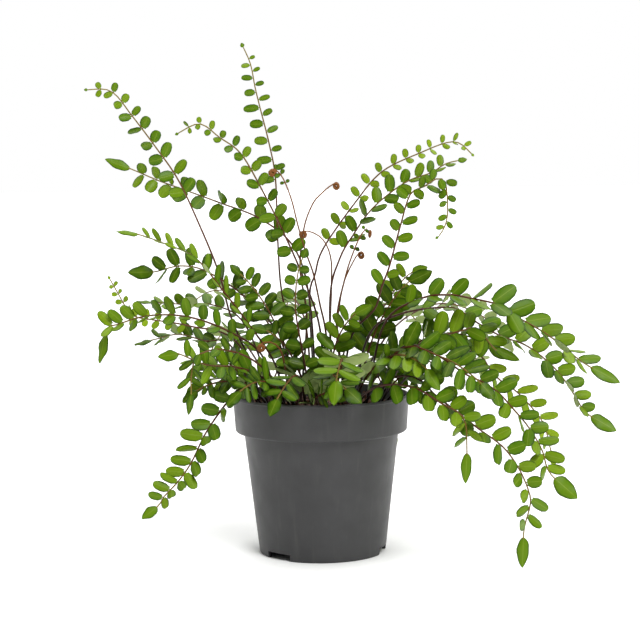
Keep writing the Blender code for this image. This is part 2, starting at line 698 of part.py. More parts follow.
class Pinna:
    """Where one pinna sits and points. side is -1 for the left row and 1 for the right."""

    def __init__(self, stalk, distance, side, length, width, tilt, sweep):
        growth, upper, right = stalk.frame(distance)
        self.distance, self.side = distance, side
        self.length, self.width = length, width
        fold = Matrix.Rotation(math.radians(-side * tilt), 3, growth)
        self.upper = fold @ upper
        outward = fold @ (right * side)
        lean = math.radians(sweep)
        self.axis = (outward * math.cos(lean) + growth * math.sin(lean)).normalized()
        self.across = (growth - growth.dot(self.axis) * self.axis).normalized()
        self.root = stalk.point(distance) + outward * stalk.radius(distance)

    def ring(self, along, width, thick, extra=0.0):
        """The middle and the half sizes of the blade, a share along its length."""
        middle = self.root + self.axis * (self.length * along)
        return middle, self.across * (width * self.width / 2 + extra), self.upper * (thick + extra)


BLADE_RINGS = ((0.38, 1.0), (1.0, 0.5))  # share of length, share of width
PROXY_RINGS = ((0.15, 0.4), *BLADE_RINGS)
TIP_RINGS = ((0.45, 0.5), (1.0, 0.15))  # share of length, half width over tip width


def swollen(rings):
    """A closed box through rings of (middle, half width, half thickness), as a tree."""
    corners, faces = [], []
    for middle, wide, thick in rings:
        corners += [middle + wide + thick, middle - wide + thick]
        corners += [middle - wide - thick, middle + wide - thick]
    for base in (0, 4):
        faces += [
            [base + n, base + (n + 1) % 4, base + 4 + (n + 1) % 4, base + 4 + n]
            for n in range(4)
        ]
    faces += [[0, 1, 2, 3], [8, 9, 10, 11]]
    return BVHTree.FromPolygons(corners, faces)


def proxy_tree(pinna):
    """A slightly swollen copy of a pinna, to test for room."""
    rings = [pinna.ring(along, width, BLADE_HALF, ROOM) for along, width in PROXY_RINGS]
    middle, wide, thick = rings[-1]
    rings[-1] = (middle + pinna.axis * ROOM, wide, thick)
    return swollen(rings)


def tip_rings(frond, stalk):
    """The two rings of the last pinna, which carries on where the stalk ends."""
    _, upper, right = stalk.frame(stalk.length)
    for share, width in TIP_RINGS:
        middle = stalk.point(stalk.length + frond.tip_length * share)
        yield middle, right * frond.tip_width * width, upper * BLADE_HALF


def size_at(frond, share):
    """Pinna length at a share of the leafy stretch, from its three given sizes."""
    first, middle, last = frond.sizes
    if share < 0.5:
        return first + (middle - first) * share * 2
    return middle + (last - middle) * (share - 0.5) * 2


def planned_pinnae(frond, stalk):
    """Every pinna's wished-for place, before neighbours are looked at."""
    dice = random.Random(frond.name)
    start = stalk.length * frond.bare
    span = stalk.length - start
    last = frond.pairs + 0.3 + frond.offset
    plans = []
    for number in range(frond.pairs):
        length = size_at(frond, number / max(frond.pairs - 1, 1))
        for row, side in enumerate((-1, 1)):
            step = (number + 0.3 + row * frond.offset) / last
            pitch = span / last * (1 + CROWDING - 2 * CROWDING * step)
            row_length = length * frond.row_sizes[row]
            plans.append(
                (
                    start + span * step * (1 + CROWDING - CROWDING * step),
                    side,
                    row_length * dice.uniform(0.84, 1.12),
                    min(row_length * frond.aspect, pitch * 0.9) * dice.uniform(0.92, 1.0),
                    frond.tilts[row] + dice.uniform(-18, 18),
                    dice.uniform(*frond.sweep),
                )
            )
    return plans


TRIES = [
    (scale, turn)
    for scale in (1.0, 0.85, 0.7, 0.56, 0.45)
    for turn in (0, 14, -14, 28, -28, 42, -42, 58, -58)
]


def fitted(stalk, plan, obstacles):
    """The pinna of a plan, tilted or made smaller until it has room. None if it has none."""
    distance, side, length, width, tilt, sweep = plan
    for scale, turn in TRIES:
        pinna = Pinna(stalk, distance, side, length * scale, width * scale, tilt + turn, sweep)
        tree = proxy_tree(pinna)
        if not any(tree.overlap(other) for other in obstacles):
            return pinna
    return None


def stalk_stations(stalk, roots):
    """Distances along the stalk that get a ring: two at each pinna's root, and more in a bend."""
    stations = [0.0, stalk.length]
    for distance in roots:
        stations += [distance - NODE_HALF, distance + NODE_HALF]
    stations.sort()
    merged = [stations[0]]
    for distance in stations[1:]:
        start = merged[-1]
        span = distance - start
        if span < 2 * GAP:
            continue
        bend = stalk.frame(start)[0].angle(stalk.frame(distance)[0])
        pieces = max(1, round(span / LONGEST_STRETCH), math.ceil(bend / SHARPEST_BEND))
        merged += [start + span * piece / pieces for piece in range(1, pieces + 1)]
    return merged


def set_ring(verts, middle, wide, thick):
    """Move four corners to middle +- wide +- thick, keeping which corner is which."""
    centre = sum((vert.co for vert in verts), Vector()) / len(verts)
    signs = []
    for vert in verts:
        offset = vert.co - centre
        signs.append((offset.dot(wide) > 0, offset.dot(thick) > 0))
    for vert, (right, up) in zip(verts, signs):
        vert.co = middle + (wide if right else -wide) + (thick if up else -thick)


def grown(bm, face, middle, wide, thick):
    """Extrude one face and move it to its next ring. Returns the new face."""
    face = bmesh.ops.extrude_discrete_faces(bm, faces=[face])["faces"][0]
    set_ring(face.verts, middle, wide, thick)
    return face


def stalk_ring(stalk, distance):
    """The middle, half width and half thickness of a square stalk at a distance."""
    _, upper, right = stalk.frame(distance)
    half = stalk.radius(distance)
    return stalk.point(distance), right * half, upper * half


def stalk_bmesh(stalk, stations):
    """A square stalk through its stations. Returns it and its end face."""
    bm = bmesh.new()
    growth, upper, right = stalk.frame(0)
    turn = Matrix((upper, right, growth)).transposed().to_4x4()
    bmesh.ops.create_cube(bm, size=1, matrix=turn)
    foot = min(bm.faces, key=lambda face: face.calc_center_median().dot(growth))
    end = max(bm.faces, key=lambda face: face.calc_center_median().dot(growth))
    set_ring(foot.verts, *stalk_ring(stalk, stations[0]))
    set_ring(end.verts, *stalk_ring(stalk, stations[1]))
    for distance in stations[2:]:
        end = grown(bm, end, *stalk_ring(stalk, distance))
    bm.normal_update()
    return bm, end


def bare_bmesh(frond, stalk, roots):
    """The stalk and its last pinna, with a stretch of stalk for each side pinna to grow from."""
    bm, end = stalk_bmesh(stalk, stalk_stations(stalk, roots))
    for ring in tip_rings(frond, stalk):
        end = grown(bm, end, *ring)
    bm.normal_update()
    return bm


def side_face(bm, stalk, pinna):
    """The stalk face that a pinna grows from."""
    root, outward = pinna.root, stalk.frame(pinna.distance)[2] * pinna.side
    facing = [face for face in bm.faces if face.normal.dot(outward) > 0.7]
    return min(facing, key=lambda face: (face.calc_center_median() - root).length)


def make_frond(frond, stalk, obstacles, collection):
    """Build one frond clear of its neighbours. Returns the object and its surface."""
    own = [swollen([stalk_ring(stalk, stalk.length), *tip_rings(frond, stalk)])]
    pinnae = []
    for plan in planned_pinnae(frond, stalk):
        pinna = fitted(stalk, plan, own + obstacles)
        if pinna:
            pinnae.append(pinna)
            own.append(proxy_tree(pinna))
    bm = bare_bmesh(frond, stalk, [pinna.distance for pinna in pinnae])
    for pinna in pinnae:
        face = side_face(bm, stalk, pinna)
        for along, width in BLADE_RINGS:
            face = grown(bm, face, *pinna.ring(along, width, BLADE_HALF))
        bm.normal_update()
    surface = BVHTree.FromBMesh(bm)
    return object_from(bm, frond.name, collection), surface


def surface_of(obj):
    graph = bpy.context.evaluated_depsgraph_get()
    return BVHTree.FromObject(obj, graph)


def main():
    clear_scene()
    plant = new_collection("Potted button fern")
    cutters = new_collection("Cutters")

    pot = finish(make_pot(plant), (0.045, 0.045, 0.047), 0.5)
    cut(pot, make_pot_cutters(cutters))
    soil = finish(make_soil(plant), (0.02, 0.014, 0.01), 0.95)
    crown = finish(make_crown(plant), (0.06, 0.035, 0.02), 0.9)
    bpy.context.view_layer.update()
    fixed = [surface_of(obj) for obj in (pot, soil, crown)]

    stalks = [Stalk(frond) for frond in FRONDS]
    bare = []
    for frond, stalk in zip(FRONDS, stalks):
        bm = bare_bmesh(frond, stalk, [plan[0] for plan in planned_pinnae(frond, stalk)])
        bare.append(BVHTree.FromBMesh(bm))
        bm.free()
    grown_fronds = []
    for index, (frond, stalk) in enumerate(zip(FRONDS, stalks)):
        others = bare[index + 1 :]
        obj, surface = make_frond(frond, stalk, fixed + grown_fronds + others, plant)
        finish(obj, frond.colour, 0.5)
        grown_fronds.append(surface)


main()
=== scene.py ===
# %% [markdown]
# # A button fern in a nursery pot
#
# A button fern has no trunk. Every frond is one leaf: a wiry brown stalk that rises from a creeping
# rootstock, two rows of leathery round leaflets, and one longer leaflet at its end. The measured
# model in the frame gives each frond's place as a coarse solid. This script puts a finished piece in
# the place of each of them, and changes no size.

# %% Load the frame
import math
import random

import bmesh
import bpy
from mathutils import Matrix, Vector, noise
from mathutils.kdtree import KDTree


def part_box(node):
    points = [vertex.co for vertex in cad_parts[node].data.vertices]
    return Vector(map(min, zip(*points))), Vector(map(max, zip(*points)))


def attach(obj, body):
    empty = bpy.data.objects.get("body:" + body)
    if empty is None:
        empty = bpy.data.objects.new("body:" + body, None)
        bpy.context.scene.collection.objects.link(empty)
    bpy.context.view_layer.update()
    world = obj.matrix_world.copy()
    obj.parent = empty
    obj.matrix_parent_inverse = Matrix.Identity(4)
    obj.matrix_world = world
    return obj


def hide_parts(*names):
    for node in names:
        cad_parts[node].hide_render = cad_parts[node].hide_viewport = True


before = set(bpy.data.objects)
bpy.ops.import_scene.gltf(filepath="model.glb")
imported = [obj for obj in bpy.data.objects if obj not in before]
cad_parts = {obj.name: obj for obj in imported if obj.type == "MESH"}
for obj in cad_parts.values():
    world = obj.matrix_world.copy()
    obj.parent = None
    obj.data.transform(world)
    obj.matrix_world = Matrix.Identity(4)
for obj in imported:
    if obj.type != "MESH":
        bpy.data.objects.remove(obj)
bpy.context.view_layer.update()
MM = 0.001

# %% [markdown]
# ## Helpers for every piece
#
# Small helpers serve every cell below. One turns a painter's hex colour into the linear values that a
# shader works in. One adds a node, sets it and links it in a single call, so that a material reads as
# a list of what it is made of, and two more open and close a material. The last turns a finished bmesh
# into a piece of the plant, which rides on the frame's only body and stands for a solid of the
# measured model.


# %% Colour, node and piece helpers
def linear(hex_colour):
    """An sRGB hex colour as linear RGBA."""
    channels = [int(hex_colour[start : start + 2], 16) / 255 for start in (1, 3, 5)]
    return (*[c / 12.92 if c <= 0.04045 else ((c + 0.055) / 1.055) ** 2.4 for c in channels], 1.0)


def add_node(tree, kind, inputs=None, **settings):
    """Add a node, set its properties, and fill or link its inputs."""
    node = tree.nodes.new(kind)
    for name, value in settings.items():
        setattr(node, name, value)
    for name, value in (inputs or {}).items():
        if isinstance(value, bpy.types.NodeSocket):
            tree.links.new(value, node.inputs[name])
        else:
            node.inputs[name].default_value = value
    return node


def new_material(name):
    """A material with an empty node tree. Returns it and the tree."""
    material = bpy.data.materials.new(name)
    material.use_nodes = True
    material.node_tree.nodes.clear()
    return material, material.node_tree


def give_surface(tree, inputs):
    """Close a tree with a Principled shader and the material output."""
    shader = add_node(tree, "ShaderNodeBsdfPrincipled", inputs)
    add_node(tree, "ShaderNodeOutputMaterial", {"Surface": shader.outputs["BSDF"]})


def mesh_from(bm, name):
    """Write a bmesh into a new mesh, and free it."""
    mesh = bpy.data.meshes.new(name)
    bm.to_mesh(mesh)
    bm.free()
    return mesh


def add_object(name, data):
    """Put a mesh, light or camera into the scene."""
    obj = bpy.data.objects.new(name, data)
    bpy.context.scene.collection.objects.link(obj)
    return obj


def piece_from(bm, name, materials, node, sharp=40):
    """Make a bmesh the finished piece that stands for a node of the frame."""
    mesh = mesh_from(bm, name)
    for material in materials:
        mesh.materials.append(material)
    mesh.shade_smooth()
    mesh.set_sharp_from_angle(angle=math.radians(sharp))
    obj = add_object(name, mesh)
    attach(obj, "root")
    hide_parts(node)
    return obj


MIX_FACTOR, MIX_A, MIX_B, MIX_COLOUR = 0, 6, 7, 2  # a colour Mix node's sockets, by place
print("leaf green in linear light:", [round(value, 3) for value in linear("#5f8f1d")])

# %% [markdown]
# ## The nursery pot
#
# The pot is one shot of polypropylene: a straight collar, a step, a tapered body, and a foot that is
# cut away in three places so that water can drain. The frame gives its height and its rim. The other
# sizes are those of the measured model.

# %% Pot: sizes
pot_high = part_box("nursery_pot")[1]
POT_HEIGHT = pot_high.z
RIM_RADIUS = pot_high.x
COLLAR_DROP = 24.5 * MM
COLLAR_LOW_RADIUS = 58.2 * MM
BODY_TOP_RADIUS = 52.5 * MM
BASE_RADIUS = 43.5 * MM
WALL = 1.2 * MM
RIM_BEAD = 0.35 * MM  # the lip stands this much proud of the collar
BEAD_HEIGHT = 1.6 * MM
FOOT_HEIGHT = 5 * MM
FOOT_WIDTH = 3 * MM
PAD_RADIUS = 12 * MM
POT_STEPS = 144
SAME_RING = 0.02 * MM
STEP_HEIGHT = POT_HEIGHT - COLLAR_DROP
print("pot", round(2 * RIM_RADIUS / MM), "mm wide and", round(POT_HEIGHT / MM, 1), "mm high")

# %% [markdown]
# Turned work is fastest from a half profile that is spun round the axis. Bevels round the rings
# afterwards, as a mould would leave them, because a hard corner catches no light.


# %% Pot: spin the profile
def spun(profile, steps):
    """Spin a profile of (radius, height) round Z into a closed solid."""
    bm = bmesh.new()
    points = [bm.verts.new((radius, 0, height)) for radius, height in profile]
    for start, end in zip(points, points[1:]):
        bm.edges.new((start, end))
    bmesh.ops.spin(
        bm,
        geom=bm.verts[:] + bm.edges[:],
        axis=(0, 0, 1),
        cent=(0, 0, 0),
        angle=math.tau,
        steps=steps,
        use_merge=True,
    )
    bmesh.ops.remove_doubles(bm, verts=bm.verts, dist=0.001 * MM)
    bmesh.ops.recalc_face_normals(bm, faces=bm.faces)
    return bm


def round_ring(bm, radius, height, width, segments=3):
    """Bevel the circle of edges at a radius and height."""

    def on_ring(vert):
        reach = math.hypot(vert.co.x, vert.co.y)
        return abs(reach - radius) < SAME_RING and abs(vert.co.z - height) < SAME_RING

    edges = [edge for edge in bm.edges if all(on_ring(vert) for vert in edge.verts)]
    bmesh.ops.bevel(
        bm,
        geom=edges,
        offset=width,
        segments=segments,
        profile=0.5,
        affect="EDGES",
        material=-1,
    )


def body_radius(height):
    """Outer radius of the tapered body."""
    share = (height - FOOT_HEIGHT) / (STEP_HEIGHT - FOOT_HEIGHT)
    return BASE_RADIUS + (BODY_TOP_RADIUS - BASE_RADIUS) * share


pot_floor = FOOT_HEIGHT + WALL
bead_low = POT_HEIGHT - BEAD_HEIGHT
pot_bm = spun(
    [
        (0, WALL),
        (PAD_RADIUS - WALL, WALL),
        (PAD_RADIUS, pot_floor),
        (body_radius(pot_floor) - WALL, pot_floor),
        (BODY_TOP_RADIUS - WALL, STEP_HEIGHT),
        (COLLAR_LOW_RADIUS - WALL, STEP_HEIGHT + WALL),
        (RIM_RADIUS - RIM_BEAD - WALL, POT_HEIGHT),
        (RIM_RADIUS, POT_HEIGHT),
        (RIM_RADIUS, bead_low),
        (RIM_RADIUS - RIM_BEAD, bead_low - RIM_BEAD),
        (COLLAR_LOW_RADIUS, STEP_HEIGHT),
        (BODY_TOP_RADIUS, STEP_HEIGHT - WALL / 2),
        (BASE_RADIUS, FOOT_HEIGHT),
        (BASE_RADIUS - WALL / 2, 0),
        (BASE_RADIUS - FOOT_WIDTH, 0),
        (BASE_RADIUS - FOOT_WIDTH, FOOT_HEIGHT),
        (PAD_RADIUS + WALL, FOOT_HEIGHT),
        (PAD_RADIUS, 0),
        (0, 0),
    ],
    POT_STEPS,
)
round_ring(pot_bm, RIM_RADIUS, POT_HEIGHT, 0.85 * MM, segments=4)
round_ring(pot_bm, RIM_RADIUS - RIM_BEAD - WALL, POT_HEIGHT, 0.4 * MM)
round_ring(pot_bm, COLLAR_LOW_RADIUS, STEP_HEIGHT, 1.3 * MM, segments=5)
round_ring(pot_bm, BODY_TOP_RADIUS, STEP_HEIGHT - WALL / 2, 0.8 * MM)
round_ring(pot_bm, BASE_RADIUS, FOOT_HEIGHT, 0.6 * MM)
round_ring(pot_bm, BASE_RADIUS - WALL / 2, 0, 0.8 * MM)
print("pot faces after the spin:", len(pot_bm.faces))

# %% [markdown]
# The three gaps in the foot stand at equal angles, with a drain hole between each two. Boxes and rods
# in those places make one cutter, and one Boolean takes them all away. The result is read back as a
# plain mesh, so that no modifier is left on the piece.

# %% Pot: cut the foot and the drain holes
NOTCHES = 3
NOTCH_ANGLE = math.radians(27)
NOTCH_START = math.radians(-134)
NOTCH_HEIGHT = FOOT_HEIGHT - 0.3 * MM
HOLE_RADIUS = 4 * MM
HOLE_RING = 27 * MM

cutter_bm = bmesh.new()
for number in range(NOTCHES):
    angle = NOTCH_START + math.tau * number / NOTCHES
    place = Matrix.Rotation(angle, 4, "Z") @ Matrix.Translation((BASE_RADIUS, 0, 0))
    notch_size = (3 * FOOT_WIDTH, BASE_RADIUS * NOTCH_ANGLE, 2 * NOTCH_HEIGHT, 1)
    bmesh.ops.create_cube(cutter_bm, size=1, matrix=place @ Matrix.Diagonal(notch_size))
    between = Matrix.Rotation(angle + math.pi / NOTCHES, 4, "Z")
    bmesh.ops.create_cone(
        cutter_bm,
        cap_ends=True,
        segments=24,
        radius1=HOLE_RADIUS,
        radius2=HOLE_RADIUS,
        depth=4 * WALL,
        matrix=between @ Matrix.Translation((HOLE_RING, 0, FOOT_HEIGHT + WALL / 2)),
    )
cutter = add_object("pot_cutter", mesh_from(cutter_bm, "pot_cutter"))
blank = add_object("pot_blank", mesh_from(pot_bm, "pot_blank"))
boolean = blank.modifiers.new("Drainage", "BOOLEAN")
boolean.object = cutter
bpy.context.view_layer.update()
cut_mesh = blank.evaluated_get(bpy.context.evaluated_depsgraph_get()).to_mesh()
pot_bm = bmesh.new()
pot_bm.from_mesh(cut_mesh)
for obj in (cutter, blank):
    bpy.data.objects.remove(obj)
print("pot faces after the cut:", len(pot_bm.faces))

# %% [markdown]
# Moulded polypropylene in charcoal. The mould was spark-finished, so the skin has a fine grain that
# spreads every highlight, and handling has rubbed the grain smoother in patches. The eye reads it as
# a soft sheen that brightens where the wall turns away. Watering leaves faint chalky traces.


# %% Pot: charcoal moulded polypropylene
def moulded_polypropylene():
    material, tree = new_material("charcoal moulded polypropylene")
    place = add_node(tree, "ShaderNodeTexCoord").outputs["Object"]
    rubs = add_node(
        tree,
        "ShaderNodeTexNoise",
        {"Vector": place, "Scale": 1 / (18 * MM), "Detail": 4.0, "Roughness": 0.6},
    )
    grain = add_node(
        tree,
        "ShaderNodeTexNoise",
        {"Vector": place, "Scale": 1 / (0.7 * MM), "Detail": 2.0},
    )
    # Water runs down the wall, so its traces are stretched along Z.
    streak_place = add_node(
        tree, "ShaderNodeMapping", {"Vector": place, "Scale": (1.0, 1.0, 0.12)}
    )
    streaks = add_node(
        tree,
        "ShaderNodeTexNoise",
        {"Vector": streak_place.outputs[0], "Scale": 1 / (5 * MM), "Detail": 5.0},
    )
    chalk = add_node(
        tree,
        "ShaderNodeMapRange",
        {"Value": streaks.outputs["Fac"], "From Min": 0.55, "From Max": 0.8, "To Max": 0.12},
    )
    plastic = add_node(
        tree,
        "ShaderNodeMix",
        {MIX_FACTOR: rubs.outputs["Fac"], MIX_A: linear("#343434"), MIX_B: linear("#3f3f40")},
        data_type="RGBA",
    )
    colour = add_node(
        tree,
        "ShaderNodeMix",
        {
            MIX_FACTOR: chalk.outputs["Result"],
            MIX_A: plastic.outputs[MIX_COLOUR],
            MIX_B: linear("#6f6d68"),
        },
        data_type="RGBA",
    )
    roughness = add_node(
        tree,
        "ShaderNodeMapRange",
        {"Value": rubs.outputs["Fac"], "From Min": 0.3, "From Max": 0.7, "To Min": 0.52, "To Max": 0.4},
    )
    bump = add_node(
        tree,
        "ShaderNodeBump",
        {"Height": grain.outputs["Fac"], "Strength": 0.25, "Distance": 0.06 * MM},
    )
    give_surface(
        tree,
        {
            "Base Color": colour.outputs[MIX_COLOUR],
            "Roughness": roughness.outputs["Result"],
            "IOR": 1.49,
            "Specular IOR Level": 0.3,
            "Normal": bump.outputs["Normal"],
        },
    )
    return material


pot = piece_from(pot_bm, "pot_moulded", [moulded_polypropylene()], "nursery_pot", 32)
print("pot piece:", pot.name, len(pot.data.polygons), "faces")

# %% [markdown]
# ## The potting mix
#
# The mix is milled peat with composted bark and a little perlite. It fills the pot to just below the
# rim and is one closed solid here, spun from the inside of the pot. Its top is roughened with noise,
# then crumbs are strewn over it. A crumb is repeated hundreds of times, so it starts from the smallest
# icosphere and is only stretched and turned. Fallen bits of dry stalk lie on top.

# %% Potting mix: solid with a rough top
AIR = 0.3 * MM  # the frame's gap between neighbouring solids
soil_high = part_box("potting_soil")[1]
SOIL_TOP = soil_high.z
SOIL_RADIUS = soil_high.x
SOIL_RING = 4 * MM  # spacing of the rings that the noise can move
SOIL_ROUGHNESS = 0.9 * MM
SOIL_STEPS = 96
mix_floor = pot_floor + AIR
rings = math.floor(SOIL_RADIUS / SOIL_RING)
mix_top = [(SOIL_RING * number, SOIL_TOP) for number in range(rings)] + [(SOIL_RADIUS, SOIL_TOP)]
soil_bm = spun(
    mix_top
    + [
        (COLLAR_LOW_RADIUS - WALL - AIR, STEP_HEIGHT + 2 * WALL),
        (BODY_TOP_RADIUS - WALL - 2 * AIR, STEP_HEIGHT),
        (body_radius(mix_floor) - WALL - 2 * AIR, mix_floor),
        (PAD_RADIUS - AIR, mix_floor),
        (PAD_RADIUS - WALL - 2 * AIR, WALL + AIR),
        (0, WALL + AIR),
    ],
    SOIL_STEPS,
)


def soil_height(x, y):
    """Height of the rough top at a place."""
    coarse = noise.noise(Vector((x, y, 0)) / (14 * MM))
    fine = noise.noise(Vector((x, y, 5 * MM)) / (4 * MM))
    return SOIL_TOP + SOIL_ROUGHNESS * (coarse + 0.6 * fine)


for vert in soil_bm.verts:
    if vert.co.z > SOIL_TOP - 0.1 * MM:
        vert.co.z = soil_height(vert.co.x, vert.co.y)
print("potting mix top at", round(SOIL_TOP / MM, 1), "mm")

# %% [markdown]
# Crumbs, bark, perlite and bits of stalk could be scattered as instances, but they are part of one
# solid, so they are added to the same bmesh. Each one is placed by a seeded dice and sunk a little
# into the rough top. The square root of a random number spreads them evenly over the round top.

# %% Potting mix: crumbs, bark, perlite and dry stalk bits
PEAT, BARK, PERLITE, STRAW = range(4)
CRUMBS = 620
CRUMB_SHARES = (70, 26, 4)  # peat, bark and perlite
CRUMB_MARGIN = 2.5 * MM  # kept free along the pot's wall
STRAWS = 70
STRAW_MARGIN = 9 * MM
STRAW_LEAN = math.radians(82)  # from upright
STRAW_RISE = 1.2 * MM
dice = random.Random("potting mix")


def scattered_place(spread):
    """A random place on the top, as a matrix with a random turn."""
    angle, reach = dice.uniform(0, math.tau), spread * math.sqrt(dice.random())
    x, y = reach * math.cos(angle), reach * math.sin(angle)
    turn = Matrix.Rotation(dice.uniform(0, math.tau), 4, "Z")
    tip = Matrix.Rotation(dice.uniform(-0.5, 0.5), 4, "X")
    return Matrix.Translation((x, y, soil_height(x, y))) @ turn @ tip


def mark(verts, index):
    """Give the faces of some new vertices a material."""
    for face in {face for vert in verts for face in vert.link_faces}:
        face.material_index = index


for number in range(CRUMBS):
    kind = dice.choices((PEAT, BARK, PERLITE), CRUMB_SHARES)[0]
    size = dice.uniform(0.5, 1.5) * MM * (1.5 if kind == BARK else 1.0)
    shape = Matrix.Diagonal((size * dice.uniform(1, 1.9), size, size * dice.uniform(0.5, 0.9), 1))
    place = scattered_place(SOIL_RADIUS - CRUMB_MARGIN)
    made = bmesh.ops.create_icosphere(soil_bm, subdivisions=1, radius=1, matrix=place @ shape)
    mark(made["verts"], kind)
for number in range(STRAWS):
    length = dice.uniform(5, 13) * MM
    lying = scattered_place(SOIL_RADIUS - STRAW_MARGIN) @ Matrix.Rotation(STRAW_LEAN, 4, "Y")
    made = bmesh.ops.create_cone(
        soil_bm,
        cap_ends=True,
        segments=5,
        radius1=0.55 * MM,
        radius2=0.4 * MM,
        depth=length,
        matrix=Matrix.Translation((0, 0, STRAW_RISE)) @ lying,
    )
    mark(made["verts"], STRAW)
print("potting mix faces:", len(soil_bm.faces))

# %% [markdown]
# Four finishes. Damp peat is almost black brown and takes no highlight. Bark is redder and a little
# smoother. Perlite is a white glassy foam. Dry fern stalks keep a chestnut shine. Each is a short
# mottled material, so one function with the two colours and the grain size makes all four.


# %% Potting mix: mottled finishes
def mottled(name, dark, light, grain, roughness, relief):
    """A rough natural finish that wanders between two colours over a grain size in metres."""
    material, tree = new_material(name)
    place = add_node(tree, "ShaderNodeTexCoord").outputs["Object"]
    speckle = add_node(
        tree,
        "ShaderNodeTexNoise",
        {"Vector": place, "Scale": 1 / grain, "Detail": 5.0, "Roughness": 0.65},
    )
    spread = add_node(
        tree,
        "ShaderNodeMapRange",
        {"Value": speckle.outputs["Fac"], "From Min": 0.35, "From Max": 0.68},
    )
    colour = add_node(
        tree,
        "ShaderNodeMix",
        {MIX_FACTOR: spread.outputs["Result"], MIX_A: linear(dark), MIX_B: linear(light)},
        data_type="RGBA",
    )
    bump = add_node(
        tree,
        "ShaderNodeBump",
        {"Height": speckle.outputs["Fac"], "Strength": 0.8, "Distance": relief},
    )
    give_surface(
        tree,
        {
            "Base Color": colour.outputs[MIX_COLOUR],
            "Roughness": roughness,
            "Normal": bump.outputs["Normal"],
        },
    )
    return material


soil_finishes = [
    mottled("damp milled peat", "#0d0906", "#2a1c12", 1.4 * MM, 0.95, 0.5 * MM),
    mottled("composted pine bark", "#2b170c", "#5c3a20", 2.2 * MM, 0.85, 0.3 * MM),
    mottled("expanded perlite", "#b9b5a8", "#e4e1d8", 1.0 * MM, 0.7, 0.2 * MM),
    mottled("dry fern stalk", "#3a1c10", "#7a4a28", 3.0 * MM, 0.5, 0.05 * MM),
]
soil = piece_from(soil_bm, "potting_mix", soil_finishes, "potting_soil", 30)
print("potting mix piece:", len(soil.data.polygons), "faces")

# %% [markdown]
# ## Where every frond goes
#
# No rule makes a plant look like this one, so each frond has its own line in a table, as it has in
# the measured model: a route from its foot to its tip, how many pairs of leaflets it bears, where
# they begin, their sizes and which way the blade faces. A smooth curve runs through each route.

# %% Fronds: the table
FRONT = (0, -1, 0.35)
FRONT_UP = (0, -0.8, 0.6)
BACK_UP = (0, 0.6, 0.8)
DEEP, FULL, FRESH = 0.2, 0.5, 0.85  # how young a frond's green is
FROND_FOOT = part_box("rhizome")[1].z + AIR


class Frond:
    """One frond: a route in millimetres from its foot to the tip of its last leaflet."""

    def __init__(
        self,
        name,
        route,
        pairs=0,
        bare=0.5,
        sizes=(10, 10, 6),
        aspect=0.8,
        tip=(12, 7),
        face=FRONT,
        tilts=(10, 10),
        offset=0.0,
        sweep=(10, 30),
        row_sizes=(1.0, 1.0),
        age=FULL,
    ):
        self.name = name
        self.route = [Vector(point) * MM for point in route]
        self.route[0].z = FROND_FOOT
        self.pairs = pairs  # pairs of leaflets
        self.bare = bare  # share of the stalk, from its foot, with no leaflets
        self.sizes = [size * MM for size in sizes]  # leaflet length: first, middle, last
        self.aspect = aspect  # leaflet width over length
        self.tip_length, self.tip_width = tip[0] * MM, tip[1] * MM
        self.face = Vector(face)  # where the upper side of the blade looks
        self.tilts = tilts  # degrees that the left and the right row fold up
        self.offset = offset  # how far the right row is shifted, in pair spacings
        self.sweep = sweep  # degrees that leaflets lean towards the tip: least and most
        self.row_sizes = row_sizes  # share of the leaflet length in the left and right row
        self.age = age


